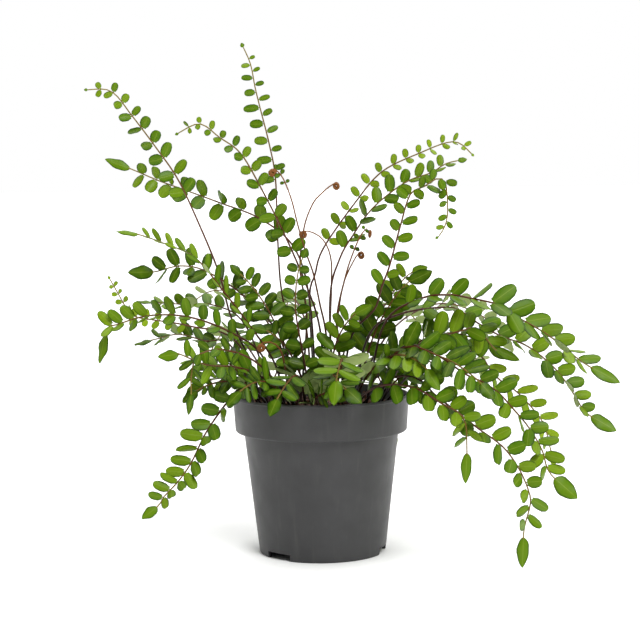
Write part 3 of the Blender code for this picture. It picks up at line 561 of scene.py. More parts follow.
FRONDS = [
    # --- left, from the top down
    Frond(
        "frond_tall_left",
        [(-40, -10, 95), (-47, -12, 130), (-59, -18, 161), (-67, -22, 193), (-80, -26, 227),
         (-92, -30, 254), (-105, -34, 274), (-120, -38, 295), (-133, -42, 311), (-150, -45, 312)],
        pairs=9, bare=0.6, sizes=(10, 8.5, 5), tip=(3, 2), tilts=(15, 15),
        sweep=(15, 35),
    ),
    Frond(
        "frond_tallest",
        [(-10, 4, 95), (-20, 5, 150), (-26, 6, 178), (-28, 8, 212), (-29, 10, 253),
         (-33, 11, 277), (-39, 12, 302), (-42, 13, 315), (-45, 14, 331), (-51, 15, 345)],
        pairs=8, bare=0.61, aspect=0.6, tip=(4, 3), offset=0.5, sweep=(0, 15),
        row_sizes=(1.0, 0.72),
    ),
    Frond(
        "frond_arching_left",
        [(3, -3, 95), (0, -4, 151), (-9, -6, 182), (-23, -9, 216), (-37, -12, 245),
         (-51, -14, 270), (-65, -16, 281), (-78, -18, 290), (-94, -20, 283)],
        pairs=12, bare=0.45, sizes=(11, 8, 4), aspect=0.75, tip=(3, 2), tilts=(20, 30),
        sweep=(15, 40),
    ),
    Frond(
        "frond_left_high",
        [(-3, 14, 95), (-7, 14, 170), (-17, 16, 206), (-40, 18, 226), (-67, 20, 237),
         (-91, 22, 246), (-110, 24, 253), (-126, 25, 260), (-146, 26, 268)],
        pairs=9, sizes=(11, 11, 9), aspect=0.85, tip=(19, 7), tilts=(10, 62),
    ),
    Frond(
        "frond_left_pale",
        [(-24, -22, 95), (-30, -28, 131), (-47, -36, 159), (-62, -42, 180), (-80, -48, 203),
         (-100, -52, 213), (-116, -54, 219), (-130, -55, 222)],
        pairs=10, bare=0.36, sizes=(11, 11, 8), aspect=0.42, tip=(15, 5),
        face=(-0.3, -0.5, 0.8), tilts=(30, 40), offset=0.3, sweep=(40, 60),
        age=0.6,
    ),
    Frond(
        "frond_left_broad",
        [(-22, 8, 95), (-24, 6, 140), (-47, 8, 170), (-75, 10, 190), (-94, 8, 195),
         (-113, 8, 191), (-130, 8, 191)],
        pairs=8, bare=0.4, sizes=(11, 13, 13), aspect=0.62, tip=(18, 10), tilts=(30, 50),
        sweep=(15, 35), age=DEEP,
    ),
    Frond(
        "frond_left_young",
        [(-34, -18, 95), (-56, -22, 146), (-86, -27, 157), (-112, -30, 162), (-122, -30, 164),
         (-127, -30, 169), (-133, -30, 180), (-139, -30, 191)],
        pairs=9, bare=0.56, sizes=(6, 5.5, 3.5), tip=(3, 2), sweep=(20, 40), age=FRESH,
    ),
    Frond(
        "frond_left_long",
        [(-28, -28, 95), (-38, -34, 137), (-58, -44, 154), (-84, -52, 165), (-109, -58, 167),
         (-129, -62, 162), (-137, -62, 158), (-142, -62, 137)],
        pairs=11, bare=0.32, sizes=(10, 12, 11), aspect=0.62, tip=(20, 8), face=FRONT_UP,
        tilts=(35, 45), sweep=(20, 40),
    ),
    Frond(
        "frond_left_back",
        [(-32, 16, 95), (-51, 15, 153), (-72, 18, 167), (-96, 20, 168), (-120, 20, 170),
         (-126, 20, 171)],
        pairs=8, bare=0.42, sizes=(11, 12, 9), aspect=0.6, tip=(12, 5),
        face=(0, -0.35, 0.95), sweep=(20, 45),
    ),
    Frond(
        "frond_left_middle",
        [(-42, -16, 95), (-60, -17, 143), (-76, -19, 146), (-94, -20, 151), (-109, -20, 148),
         (-124, -20, 145)],
        pairs=8, bare=0.36, sizes=(11, 13, 10), aspect=0.6, tip=(13, 6),
        face=(0, -0.4, 0.9), tilts=(25, 5), sweep=(20, 40), age=DEEP,
    ),
    Frond(
        "frond_left_front",
        [(-22, -36, 95), (-37, -48, 124), (-54, -60, 133), (-73, -70, 136), (-92, -72, 144),
         (-103, -72, 142)],
        pairs=8, bare=0.28, sizes=(13, 14, 12), aspect=0.75, tip=(14, 8), face=FRONT_UP,
        tilts=(25, 0), offset=0.5, sweep=(15, 35),
    ),
    Frond(
        "frond_left_hanging",
        [(-13, -40, 95), (-40, -60, 135), (-62, -74, 146), (-76, -80, 144), (-80, -80, 139),
         (-82, -80, 128), (-82, -80, 119), (-84, -80, 105)],
        pairs=4, sizes=(9, 10, 9), aspect=0.6, tip=(15, 5), tilts=(50, 20),
        offset=0.5, sweep=(30, 50), age=DEEP,
    ),
    Frond(
        "frond_over_rim_left",
        [(-33, -32, 95), (-41, -36, 112), (-50, -41, 118), (-59, -46, 111), (-68, -52, 100),
         (-76, -57, 88), (-84, -62, 72), (-92, -68, 61), (-101, -73, 52), (-105, -75, 46),
         (-115, -79, 39)],
        pairs=11, bare=0.2, sizes=(12, 13, 9), aspect=0.72, tip=(13, 7), tilts=(50, 5),
        sweep=(15, 35),
    ),
    Frond(
        "frond_over_rim_short",
        [(-40, -24, 95), (-50, -29, 118), (-66, -34, 123), (-80, -38, 119), (-88, -40, 115)],
        pairs=6, bare=0.28, sizes=(12, 13, 11), tip=(13, 8), face=FRONT_UP, tilts=(35, 5),
        sweep=(15, 35),
    ),
    # --- right, from the top down
    Frond(
        "frond_right_outer_high",
        [(-4, 22, 95), (-7, 23, 169), (-3, 25, 187), (3, 27, 205), (26, 30, 237),
         (44, 32, 257), (69, 34, 269), (94, 35, 277), (108, 35, 267)],
        pairs=13, bare=0.45, sizes=(8, 7, 5), aspect=0.7, tip=(3, 2), tilts=(25, 35),
        sweep=(10, 35), age=FRESH,
    ),
    Frond(
        "frond_right_high",
        [(8, 6, 95), (7, 6, 171), (14, 5, 199), (24, 4, 216), (34, 3, 230), (46, 2, 241),
         (61, 1, 251), (76, 0, 256), (86, 0, 262), (100, 0, 265)],
        pairs=9, sizes=(12, 12, 8), aspect=0.62, tip=(7, 4), tilts=(15, 45), offset=0.5,
        sweep=(25, 45),
    ),
    Frond(
        "frond_right_nodding",
        [(14, -22, 95), (20, -26, 147), (36, -30, 167), (41, -30, 182), (46, -30, 195),
         (53, -31, 220), (60, -31, 242), (69, -32, 247), (77, -32, 252), (83, -33, 249),
         (84, -35, 228), (80, -36, 217), (76, -36, 213)],
        pairs=12, bare=0.4, sizes=(10, 9, 5), aspect=0.72, tip=(3, 2), tilts=(25, 10), offset=0.5,
        sweep=(15, 40),
    ),
    Frond(
        "frond_right_broad",
        [(30, -20, 95), (42, -34, 157), (65, -40, 174), (84, -45, 177), (97, -48, 175),
         (114, -51, 171), (125, -54, 164), (144, -58, 153), (157, -60, 143), (171, -63, 132),
         (192, -66, 121)],
        pairs=11, bare=0.36, sizes=(14, 17, 14), aspect=0.66, tip=(22, 9), face=FRONT_UP,
        tilts=(0, 50), sweep=(28, 45),
    ),
    Frond(
        "frond_right_long",
        [(26, -4, 95), (27, -8, 130), (36, -12, 153), (53, -14, 162), (73, -17, 166),
         (90, -20, 166), (102, -22, 158), (119, -25, 148), (137, -28, 141), (155, -32, 126),
         (167, -35, 109), (175, -37, 97), (194, -41, 86)],
        pairs=12, bare=0.38, sizes=(13, 14, 10), aspect=0.72, tip=(20, 10), face=FRONT_UP,
        tilts=(0, 50), sweep=(22, 40),
    ),
    Frond(
        "frond_right_middle",
        [(34, -32, 95), (52, -46, 142), (71, -54, 141), (93, -62, 127), (102, -65, 123),
         (113, -68, 116), (123, -72, 105), (132, -75, 94), (140, -78, 80), (145, -81, 65),
         (162, -85, 50)],
        pairs=11, bare=0.34, sizes=(14, 13, 12), aspect=0.66, tip=(20, 12), face=FRONT_UP,
        tilts=(10, 45), sweep=(22, 42),
    ),
    Frond(
        "frond_right_slender",
        [(40, -22, 95), (75, -36, 140), (102, -45, 138), (111, -46, 127), (118, -47, 120),
         (129, -48, 112), (144, -50, 94), (148, -51, 80), (152, -52, 64)],
        pairs=8, bare=0.38, sizes=(12, 13, 10), aspect=0.5, tip=(12, 5), tilts=(10, 40),
        offset=0.5, sweep=(28, 48), age=FRESH,
    ),
    Frond(
        "frond_right_trailing",
        [(23, -38, 95), (45, -58, 124), (62, -68, 125), (73, -74, 115), (85, -79, 106),
         (99, -84, 95), (114, -89, 84), (124, -93, 70), (130, -96, 55), (130, -97, 47),
         (126, -99, 32), (125, -101, 9)],
        pairs=11, bare=0.22, sizes=(14, 12, 10), aspect=0.75, tip=(20, 8),
        tilts=(0, 45), offset=0.5, sweep=(15, 38),
    ),
    Frond(
        "frond_right_hanging",
        [(14, -42, 95), (36, -66, 120), (58, -78, 121), (75, -86, 112), (89, -92, 103),
         (91, -94, 84), (90, -96, 62)],
        pairs=8, bare=0.2, sizes=(14, 13, 11), aspect=0.7, tip=(20, 7), tilts=(0, 30), offset=0.5,
        sweep=(20, 40),
    ),
    Frond(
        "frond_right_short",
        [(38, -28, 95), (55, -40, 135), (71, -50, 149), (84, -50, 152), (92, -50, 154),
         (102, -51, 155), (114, -53, 141), (129, -54, 135)],
        pairs=8, bare=0.26, sizes=(15, 15, 12), aspect=0.75, tip=(18, 7), face=FRONT_UP,
        sweep=(20, 40),
    ),
    Frond(
        "frond_right_front",
        [(22, -33, 95), (51, -60, 143), (76, -75, 140), (94, -85, 130), (109, -92, 115)],
        pairs=9, bare=0.2, sizes=(15, 16, 13), tip=(14, 9), face=FRONT_UP,
        tilts=(5, 25), offset=0.5, sweep=(15, 35), age=DEEP,
    ),
    # --- short fronds over the middle of the pot
    Frond(
        "frond_middle_front",
        [(2, -30, 95), (5, -42, 122), (8, -56, 127), (14, -68, 121), (26, -74, 111)],
        pairs=6, bare=0.2, sizes=(14, 16, 13), aspect=0.85, tip=(15, 11), face=(0, -0.7, 0.7),
        sweep=(15, 35), age=DEEP,
    ),
    Frond(
        "frond_middle_front_left",
        [(-10, -30, 95), (-13, -43, 122), (-18, -56, 126), (-27, -67, 115), (-33, -72, 103)],
        pairs=6, bare=0.2, sizes=(13, 14, 12), aspect=0.85, tip=(13, 9), face=(0, -0.7, 0.7),
        sweep=(15, 35), age=DEEP,
    ),
    Frond(
        "frond_middle_right",
        [(24, 6, 95), (34, 4, 140), (48, 3, 168), (62, 2, 184), (76, 1, 190)],
        pairs=5, bare=0.34, sizes=(15, 16, 13), aspect=0.7, tip=(18, 10), sweep=(20, 40),
        age=DEEP,
    ),
    Frond(
        "frond_middle_left",
        [(-6, -22, 95), (-12, -27, 140), (-16, -31, 168), (-14, -33, 192), (-8, -34, 208)],
        pairs=7, bare=0.25, sizes=(10, 10, 7), aspect=0.85, tip=(8, 6), age=DEEP,
    ),
    Frond(
        "frond_middle_high_left",
        [(-16, -10, 95), (-22, -8, 130), (-32, -6, 160), (-46, -5, 182), (-60, -5, 196)],
        pairs=8, bare=0.34, sizes=(11, 12, 9), tip=(10, 6), age=DEEP,
    ),
    Frond(
        "frond_middle_high_right",
        [(20, 14, 95), (30, 15, 135), (44, 15, 165), (60, 15, 186), (74, 15, 192)],
        pairs=8, bare=0.34, sizes=(11, 12, 9),
    ),
    Frond(
        "frond_front_centre",
        [(7, -35, 95), (11, -48, 120), (14, -62, 136), (13, -75, 138), (10, -85, 128),
         (8, -91, 112)],
        pairs=6, bare=0.24, sizes=(14, 16, 14), aspect=0.85, tip=(17, 10),
        face=(0, -0.75, 0.65), sweep=(20, 40),
    ),
    Frond(
        "frond_front_right",
        [(20, -26, 95), (30, -44, 124), (42, -62, 138), (54, -76, 141), (66, -83, 134),
         (75, -87, 120)],
        pairs=7, bare=0.24, sizes=(14, 16, 13), tip=(17, 9),
        face=(0, -0.75, 0.65), sweep=(20, 40),
    ),
    Frond(
        "frond_front_left",
        [(-18, -37, 95), (-27, -50, 116), (-38, -62, 124), (-50, -70, 120), (-60, -75, 110)],
        pairs=7, bare=0.2, sizes=(12, 14, 11), tip=(14, 8),
        face=(0, -0.75, 0.65), sweep=(20, 40), age=DEEP,
    ),
    Frond(
        "frond_low_right",
        [(36, -14, 95), (46, -24, 122), (58, -34, 134), (70, -42, 134), (82, -48, 124)],
        pairs=7, bare=0.24, sizes=(12, 14, 11), tip=(15, 8),
        face=(0, -0.8, 0.6), sweep=(20, 40), age=DEEP,
    ),
    Frond(
        "frond_low_left",
        [(-43, -3, 95), (-52, -6, 118), (-62, -9, 130), (-73, -12, 132), (-84, -14, 126)],
        pairs=7, bare=0.26, sizes=(11, 13, 11), aspect=0.75, tip=(13, 7),
        face=(0, -0.6, 0.8), sweep=(20, 40), age=DEEP,
    ),
    Frond(
        "frond_centre_upright",
        [(3, -14, 95), (6, -18, 124), (12, -24, 148), (22, -30, 163), (34, -34, 170)],
        pairs=6, bare=0.26, sizes=(13, 15, 11), tip=(14, 8), sweep=(20, 40),
    ),
    Frond(
        "frond_centre_low",
        [(-6, -8, 95), (-12, -12, 118), (-22, -17, 140), (-34, -21, 152), (-46, -23, 156)],
        pairs=6, bare=0.24, sizes=(12, 14, 10), sweep=(15, 35),
        age=DEEP,
    ),
    Frond(
        "frond_rim_right",
        [(40, -2, 95), (50, -8, 116), (58, -13, 121), (64, -17, 116), (67, -20, 102)],
        pairs=4, bare=0.24, sizes=(10, 11, 9), aspect=0.75, tip=(13, 6), sweep=(25, 45),
        age=DEEP,
    ),
    Frond(
        "frond_rim_front",
        [(-3, -41, 95), (-6, -48, 107), (0, -54, 114), (8, -57, 115), (16, -58, 111)],
        pairs=6, bare=0.2, sizes=(11, 13, 11), aspect=0.85, tip=(12, 8),
        face=(0, -0.7, 0.7), sweep=(15, 35), age=DEEP,
    ),
    Frond(
        "frond_low_outer_left",
        [(-37, -29, 95), (-45, -32, 112), (-60, -38, 121), (-76, -46, 119), (-90, -52, 110)],
        pairs=6, bare=0.3, sizes=(11, 13, 11), tip=(13, 8),
        face=(0, -0.8, 0.6), tilts=(25, 5), sweep=(20, 40), age=DEEP,
    ),
    Frond(
        "frond_right_inner",
        [(38, -10, 95), (58, -21, 138), (82, -28, 150), (104, -32, 146), (124, -35, 134)],
        pairs=8, bare=0.36, sizes=(14, 14, 11), aspect=0.75, tip=(16, 9),
        face=FRONT_UP, tilts=(5, 30), sweep=(20, 40),
    ),
    # --- back
    Frond(
        "frond_back_left_high",
        [(-16, 26, 95), (-30, 45, 140), (-52, 68, 168), (-78, 90, 172), (-100, 105, 158)],
        pairs=6, bare=0.42, sizes=(10, 12, 8), tip=(15, 7), face=BACK_UP, tilts=(20, 20),
    ),
    Frond(
        "frond_back_tall",
        [(-6, 32, 95), (-10, 60, 148), (-18, 95, 164), (-25, 125, 158), (-30, 150, 134)],
        pairs=7, bare=0.4, sizes=(11, 13, 9), tip=(18, 8), face=BACK_UP, tilts=(20, 20),
    ),
    Frond(
        "frond_back_right",
        [(8, 34, 95), (22, 60, 142), (45, 92, 160), (70, 122, 148), (86, 142, 118)],
        pairs=7, bare=0.4, sizes=(11, 13, 9), tip=(18, 8), face=BACK_UP, tilts=(20, 20),
    ),
    Frond(
        "frond_back_right_wide",
        [(22, 30, 95), (50, 50, 145), (85, 72, 162), (120, 90, 150), (142, 100, 124)],
        pairs=7, bare=0.42, sizes=(11, 12, 9), tip=(16, 8), face=BACK_UP, tilts=(20, 20),
    ),
    Frond(
        "frond_back_left_low",
        [(-30, 26, 95), (-50, 55, 132), (-66, 88, 142), (-78, 112, 132), (-84, 130, 115)],
        pairs=7, bare=0.36, sizes=(11, 12, 9), tip=(15, 7), face=BACK_UP, tilts=(20, 20),
    ),
    Frond(
        "frond_back_right_low",
        [(32, 16, 95), (60, 34, 130), (88, 56, 136), (110, 76, 124), (122, 90, 104)],
        pairs=7, bare=0.36, sizes=(11, 12, 9), tip=(15, 7), face=BACK_UP, tilts=(20, 20),
    ),
    Frond(
        "frond_over_rim_back_left",
        [(-14, 40, 95), (-24, 62, 120), (-34, 84, 108), (-40, 96, 78), (-42, 102, 46)],
        pairs=5, bare=0.34, sizes=(12, 12, 9), tip=(14, 7), face=BACK_UP, tilts=(15, 15),
    ),
    Frond(
        "frond_over_rim_back_right",
        [(14, 42, 95), (26, 64, 122), (40, 84, 112), (50, 98, 82), (54, 104, 52)],
        pairs=5, bare=0.34, sizes=(12, 12, 9), tip=(14, 7), face=BACK_UP, tilts=(15, 15),
    ),
    # --- croziers and bare young stalks
    Frond(
        "crozier_tall",
        [(-14, 0, 95), (-9, 0, 158), (-13, 0, 192), (-10, 0, 220), (-4, 0, 236), (1, 0, 242),
         (8, 0, 248), (13, -1, 250), (14, -2, 246)],
        tip=(3, 2), age=DEEP,
    ),
    Frond(
        "crozier_crumpled",
        [(8, -14, 95), (4, -16, 149), (0, -17, 170), (-4, -18, 190), (-9, -19, 205),
         (-14, -20, 223), (-18, -21, 240), (-24, -22, 255), (-30, -22, 260), (-34, -22, 256)],
        pairs=3, bare=0.9, sizes=(3, 4, 3), tip=(4, 2.5), age=DEEP,
    ),
    Frond(
        "crozier_middle",
        [(10, 16, 95), (7, 13, 146), (8, 14, 177), (8, 14, 198), (3, 14, 211), (-6, 14, 217),
         (-15, 14, 217)],
        tip=(4, 2.5), age=DEEP,
    ),
    Frond(
        "crozier_right",
        [(18, -8, 95), (11, -8, 152), (17, -9, 186), (25, -10, 209), (31, -10, 219),
         (34, -11, 217), (33, -12, 214)],
        pairs=3, bare=0.82, sizes=(4, 4, 3), tip=(3, 2), age=DEEP,
    ),
    Frond(
        "crozier_back",
        [(16, 24, 95), (12, 22, 149), (13, 23, 162), (17, 24, 182), (26, 24, 200),
         (30, 24, 202), (31, 23, 198)],
        tip=(3, 2), age=DEEP,
    ),
    Frond(
        "crozier_low_left",
        [(-18, -26, 95), (-22, -33, 118), (-24, -36, 134), (-27, -38, 143), (-33, -39, 147),
         (-39, -40, 146), (-43, -40, 142)],
        tip=(4, 3), age=DEEP,
    ),
]
print(len(FRONDS), "fronds and croziers in the table")

# %% [markdown]
# ## Reading a stalk
#
# A stalk is read by distance from its foot. At each distance it has three directions: the way it
# grows, the upper side of the blade, and the right-hand side. The upper side is set where the
# leaflets are and is carried along the curve in both directions, so the stalk never twists.


# %% Fronds: the stalk's curve
CURVE_STEPS = 12
LEAFY_SHARE = 0.75  # of the route: where a frond's face is set
CROWDING = 0.3  # how much closer together the leaflets get towards the tip
REACH = 1.5 * MM  # ahead and behind, to read the direction of growth
CAD_FOOT_RADIUS = 0.9 * MM
CAD_TIP_RADIUS = 0.5 * MM


def smooth_curve(points):
    """A Catmull-Rom curve through the points, as a list of close points."""
    ends = [2 * points[0] - points[1], *points, 2 * points[-1] - points[-2]]
    curve = []
    for a, b, c, d in zip(ends, ends[1:], ends[2:], ends[3:]):
        for step in range(CURVE_STEPS):
            t = step / CURVE_STEPS
            curve.append(
                0.5
                * (
                    2 * b
                    + (c - a) * t
                    + (2 * a - 5 * b + 4 * c - d) * t * t
                    + (3 * b - a - 3 * c + d) * t * t * t
                )
            )
    curve.append(points[-1].copy())
    return curve


class Stalk:
    """A frond's centre line, read by distance from its foot."""

    def __init__(self, frond):
        self.curve = smooth_curve(frond.route)
        self.distances = [0.0]
        for start, end in zip(self.curve, self.curve[1:]):
            self.distances.append(self.distances[-1] + (end - start).length)
        self.blade_end = self.distances[-1]
        self.length = self.blade_end - frond.tip_length
        self.uppers = self.carried_uppers(frond.face)

    def carried_uppers(self, face):
        """The upper side at each curve point: set where the leaflets are, and carried from there."""
        last = len(self.curve) - 1
        leafy = round(last * LEAFY_SHARE)
        uppers = [face] * (last + 1)
        for order in (range(leafy, last + 1), range(leafy, -1, -1)):
            upper = face
            for index in order:
                growth = self.growth(self.distances[index])
                upper = (upper - upper.dot(growth) * growth).normalized()
                uppers[index] = upper
        return uppers

    def locate(self, distance):
        """The stretch of curve that a distance falls in, and the share along it."""
        for index, reached in enumerate(self.distances[1:]):
            if distance <= reached:
                start = self.distances[index]
                return index, (distance - start) / (reached - start)
        return len(self.curve) - 2, 1.0

    def point(self, distance):
        index, share = self.locate(distance)
        return self.curve[index].lerp(self.curve[index + 1], share)

    def growth(self, distance):
        """The direction of growth. The foot is cut level, to stand on the rootstock."""
        if distance == 0:
            return Vector((0, 0, 1))
        ahead = self.point(min(distance + REACH, self.blade_end))
        return (ahead - self.point(max(distance - REACH, 0))).normalized()

    def frame(self, distance):
        """The direction of growth, the blade's upper side and the right-hand side."""
        growth = self.growth(distance)
        index, share = self.locate(distance)
        upper = self.uppers[index].lerp(self.uppers[index + 1], share)
        upper = (upper - upper.dot(growth) * growth).normalized()
        return growth, upper, growth.cross(upper)

    def cad_radius(self, distance):
        share = distance / self.length
        return CAD_FOOT_RADIUS + (CAD_TIP_RADIUS - CAD_FOOT_RADIUS) * share


stalks = {frond.name: Stalk(frond) for frond in FRONDS}
print(len(stalks), "stalks, the longest", round(max(s.length for s in stalks.values()) / MM), "mm")

# %% [markdown]
# ## Finding each leaflet's place
#
# The measured model drew a wished-for place for each leaflet from a seeded dice. The same draws are
# made here, in the same order: two leaflets at each step along the stalk, closer together towards the
# tip, each with its own length, width, fold and lean.


# %% Leaflets: wished-for places
FAR_END_WIDTH = 0.5  # share of a leaflet's width at its far end, in the frame
CAD_BLADE_HALF = 0.4 * MM
FIRST_STEP = 0.3  # how far the first leaflet is into the leafy stretch, in pair spacings


class Pinna:
    """Where one leaflet sits and points. side is -1 for the left row and 1 for the right."""

    def __init__(self, stalk, distance, side, length, width, tilt, sweep):
        growth, upper, right = stalk.frame(distance)
        self.distance, self.side = distance, side
        self.length, self.width = length, width
        fold = Matrix.Rotation(math.radians(-side * tilt), 3, growth)
        self.upper = fold @ upper
        outward = fold @ (right * side)
        lean = math.radians(sweep)
        self.axis = (outward * math.cos(lean) + growth * math.sin(lean)).normalized()
        self.across = (growth - growth.dot(self.axis) * self.axis).normalized()
        self.root = stalk.point(distance) + outward * stalk.cad_radius(distance)

    def far_corners(self):
        end = self.root + self.axis * self.length
        wide = self.across * (FAR_END_WIDTH * self.width / 2)
        thick = self.upper * CAD_BLADE_HALF
        return [end + wide + thick, end - wide - thick]


def size_at(frond, share):
    """Leaflet length at a share of the leafy stretch, from its three given sizes."""
    first, middle, last = frond.sizes
    if share < 0.5:
        return first + (middle - first) * share * 2
    return middle + (last - middle) * (share - 0.5) * 2


def planned_pinnae(frond, stalk):
    """Every leaflet's wished-for place, drawn as the measured model drew it."""
    draws = random.Random(frond.name)
    start = stalk.length * frond.bare
    span = stalk.length - start
    last = frond.pairs + FIRST_STEP + frond.offset
    for number in range(frond.pairs):
        length = size_at(frond, number / max(frond.pairs - 1, 1))
        for row, side in enumerate((-1, 1)):
            step = (number + FIRST_STEP + row * frond.offset) / last
            pitch = span / last * (1 + CROWDING - 2 * CROWDING * step)
            row_length = length * frond.row_sizes[row]
            yield (
                start + span * step * (1 + CROWDING - CROWDING * step),
                side,
                row_length * draws.uniform(0.84, 1.12),
                min(row_length * frond.aspect, pitch * 0.9) * draws.uniform(0.92, 1.0),
                frond.tilts[row] + draws.uniform(-18, 18),
                draws.uniform(*frond.sweep),
            )


planned = sum(len(list(planned_pinnae(frond, stalks[frond.name]))) for frond in FRONDS)
print(planned, "leaflets planned")

# %% [markdown]
# The measured model then tilted or shrank each leaflet until it touched no neighbour. Its solid says
# which tilt and size was taken, because corners of a leaflet's far end are points of its mesh. A tree
# of those points makes the look-up quick. A leaflet that isn't found was left out there too.

# %% Leaflets: places that were taken
SAME_POINT = 0.03 * MM
TRIES = [
    (scale, turn)
    for scale in (1.0, 0.85, 0.7, 0.56, 0.45)
    for turn in (0, 14, -14, 28, -28, 42, -42, 58, -58)
]


def points_of(node):
    """The measured mesh of a node as a tree of points."""
    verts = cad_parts[node].data.vertices
    tree = KDTree(len(verts))
    for vert in verts:
        tree.insert(vert.co, vert.index)
    tree.balance()
    return tree


def placed_pinnae(frond, stalk):
    """The leaflets that the measured solid has, in their final tilt and size."""
    solid = points_of(frond.name)
    pinnae = []
    for distance, side, length, width, tilt, sweep in planned_pinnae(frond, stalk):
        for scale, turn in TRIES:
            pinna = Pinna(stalk, distance, side, length * scale, width * scale, tilt + turn, sweep)
            if all(solid.find(corner)[2] < SAME_POINT for corner in pinna.far_corners()):
                pinnae.append(pinna)
                break
    return pinnae


places = {frond.name: placed_pinnae(frond, stalks[frond.name]) for frond in FRONDS}
found = sum(len(pinnae) for pinnae in places.values())
print(found, "leaflets found of", planned, "planned")

# %% [markdown]
# ## The shape of a leaflet
#
# A leaflet is a leathery blade about a third of a millimetre thick on a very short stalklet. Its
# forward margin bows out, its rear margin is straighter, and its edges curl down. There are hundreds,
# so each starts from a small grid that a formula bends into shape, and is then given its thickness.
# The rows of the grid crowd towards both ends, where the outline turns fastest.

# %% Leaflets: outline and bend
LEAF_THICKNESS = 0.32 * MM
LEAF_ROWS, LEAF_COLUMNS = 8, 4
TIP_ROWS = 14
STALKLET = 0.8 * MM
STALKLET_HALF = 0.32 * MM
BARE_ROWS = 2  # the first rows of the grid are the stalklet
ROUNDNESS = 2.4  # a power of 2 makes an ellipse, and a higher one a fuller outline
UPPER, UNDER, STALK = range(3)  # material slots of a frond


def button_outline(share, forward):
    """Half width of a round leaflet at a share of its length. forward is its bowed margin."""
    widest = 0.45 if forward else 0.52
    reach = abs(share - widest) / (widest if share < widest else 1 - widest)
    bow = (1 - reach**ROUNDNESS) ** (1 / ROUNDNESS)
    return max(bow * (1.0 if forward else 0.86), 0.5 * max(1 - share * 4, 0), 0.2)


def lance_outline(share, forward):
    """Half width of the long leaflet at a frond's end: widest near its foot, with wavy edges."""
    widest = 0.36 if forward else 0.44
    if share < widest:
        bow = math.sin(math.pi / 2 * share / widest) ** 0.55
    else:
        bow = math.cos(math.pi / 2 * (share - widest) / (1 - widest)) ** 0.72
    wave = 1 + 0.06 * math.sin(share * 13 + (0 if forward else 2.4))
    return max(bow * wave, 0.06)


def add_blade(bm, layers, place, length, width, tone, side=1, lance=False, limp=0.06, curl=0.16):
    """Add one blade. place is a matrix with X along it and Z out of its upper side."""
    uv_layer, tone_layer = layers
    rows = TIP_ROWS if lance else LEAF_ROWS
    outline = lance_outline if lance else button_outline
    stalklet = min(STALKLET, length * 0.2)
    ripple = 0.05 * width if lance else 0.018 * width
    phase = tone * 40
    grid = bmesh.ops.create_grid(bm, x_segments=rows, y_segments=LEAF_COLUMNS, size=0.5)["verts"]
    shares = {}
    for vert in grid:
        row = round((vert.co.x + 0.5) * rows)
        side_share = vert.co.y * 2
        if row < BARE_ROWS:
            along = stalklet * row / (BARE_ROWS - 1)
            half, share = STALKLET_HALF, 0.0
        else:
            turn = math.pi * (row - BARE_ROWS) / (rows - BARE_ROWS)
            share = (1 - math.cos(turn)) / 2
            along = stalklet + (length - stalklet) * share
            half = outline(share, side_share * side > 0) * width / 2
        margin = side_share * side_share
        lift = -limp * length * share * share - curl * half * margin
        lift += ripple * math.sin(share * 11 + phase + side_share) * margin
        vert.co = (along, half * side_share, lift)
        shares[vert] = (along / length, (side_share + 1) / 2)
    faces = list({face for vert in grid for face in vert.link_faces})
    for face in faces:
        face.smooth = True
        face.material_index = UPPER
        for loop in face.loops:
            loop[uv_layer].uv = shares[loop.vert]
    shell = bmesh.ops.solidify(bm, geom=faces, thickness=LEAF_THICKNESS)["geom"]
    new_verts = [item for item in shell if isinstance(item, bmesh.types.BMVert)]
    for face in (item for item in shell if isinstance(item, bmesh.types.BMFace)):
        face.material_index = UNDER
    verts = set(grid) | set(new_verts)
    for vert in verts:
        vert[tone_layer] = tone
    bmesh.ops.transform(bm, matrix=place, verts=list(verts))


print("faces in a leaflet:", 2 * LEAF_ROWS * LEAF_COLUMNS + 2 * (LEAF_ROWS + LEAF_COLUMNS))

# %% [markdown]
# ## The shape of a stalk
#
# A stalk is a round wire that thins towards its tip. It starts as a small circle at its foot. Each
# step extrudes the open edge loop and moves the new ring to its place on the curve, so the tube
# follows the route exactly. Both ends are filled.


# %% Stalks: a tube along a curve
STALK_SIDES = 6
STALK_STEP = 4 * MM
STALK_FOOT_RADIUS = 0.85 * MM
STALK_TIP_RADIUS = 0.42 * MM


def ring_place(middle, growth, right, radius):
    """A matrix that puts a unit circle across the direction of growth."""
    turn = Matrix((right, growth.cross(right), growth)).transposed().to_4x4()
    return Matrix.Translation(middle) @ turn @ Matrix.Diagonal((radius, radius, radius, 1))


def add_tube(bm, layers, rings, material_index):
    """Extrude a circle through rings of (matrix, tone) and close both ends."""
    tone_layer = layers[1]
    start, tone = rings[0]
    made = bmesh.ops.create_circle(bm, cap_ends=False, segments=STALK_SIDES, radius=1, matrix=start)
    ring, verts = made["verts"], list(made["verts"])
    edges = list({edge for vert in ring for edge in vert.link_edges})
    first_edges = edges
    for vert in ring:
        vert[tone_layer] = tone
    before = start
    for place, tone in rings[1:]:
        grown = bmesh.ops.extrude_edge_only(bm, edges=edges)["geom"]
        ring = [item for item in grown if isinstance(item, bmesh.types.BMVert)]
        on_ring = set(ring)
        edges = [
            item
            for item in grown
            if isinstance(item, bmesh.types.BMEdge) and all(vert in on_ring for vert in item.verts)
        ]
        bmesh.ops.transform(bm, matrix=place @ before.inverted(), verts=ring)
        for vert in ring:
            vert[tone_layer] = tone
        verts += ring
        before = place
    bmesh.ops.holes_fill(bm, edges=first_edges + edges, sides=STALK_SIDES)
    faces = list({face for vert in verts for face in vert.link_faces})
    for face in faces:
        face.material_index = material_index
        face.smooth = True
    bmesh.ops.recalc_face_normals(bm, faces=faces)


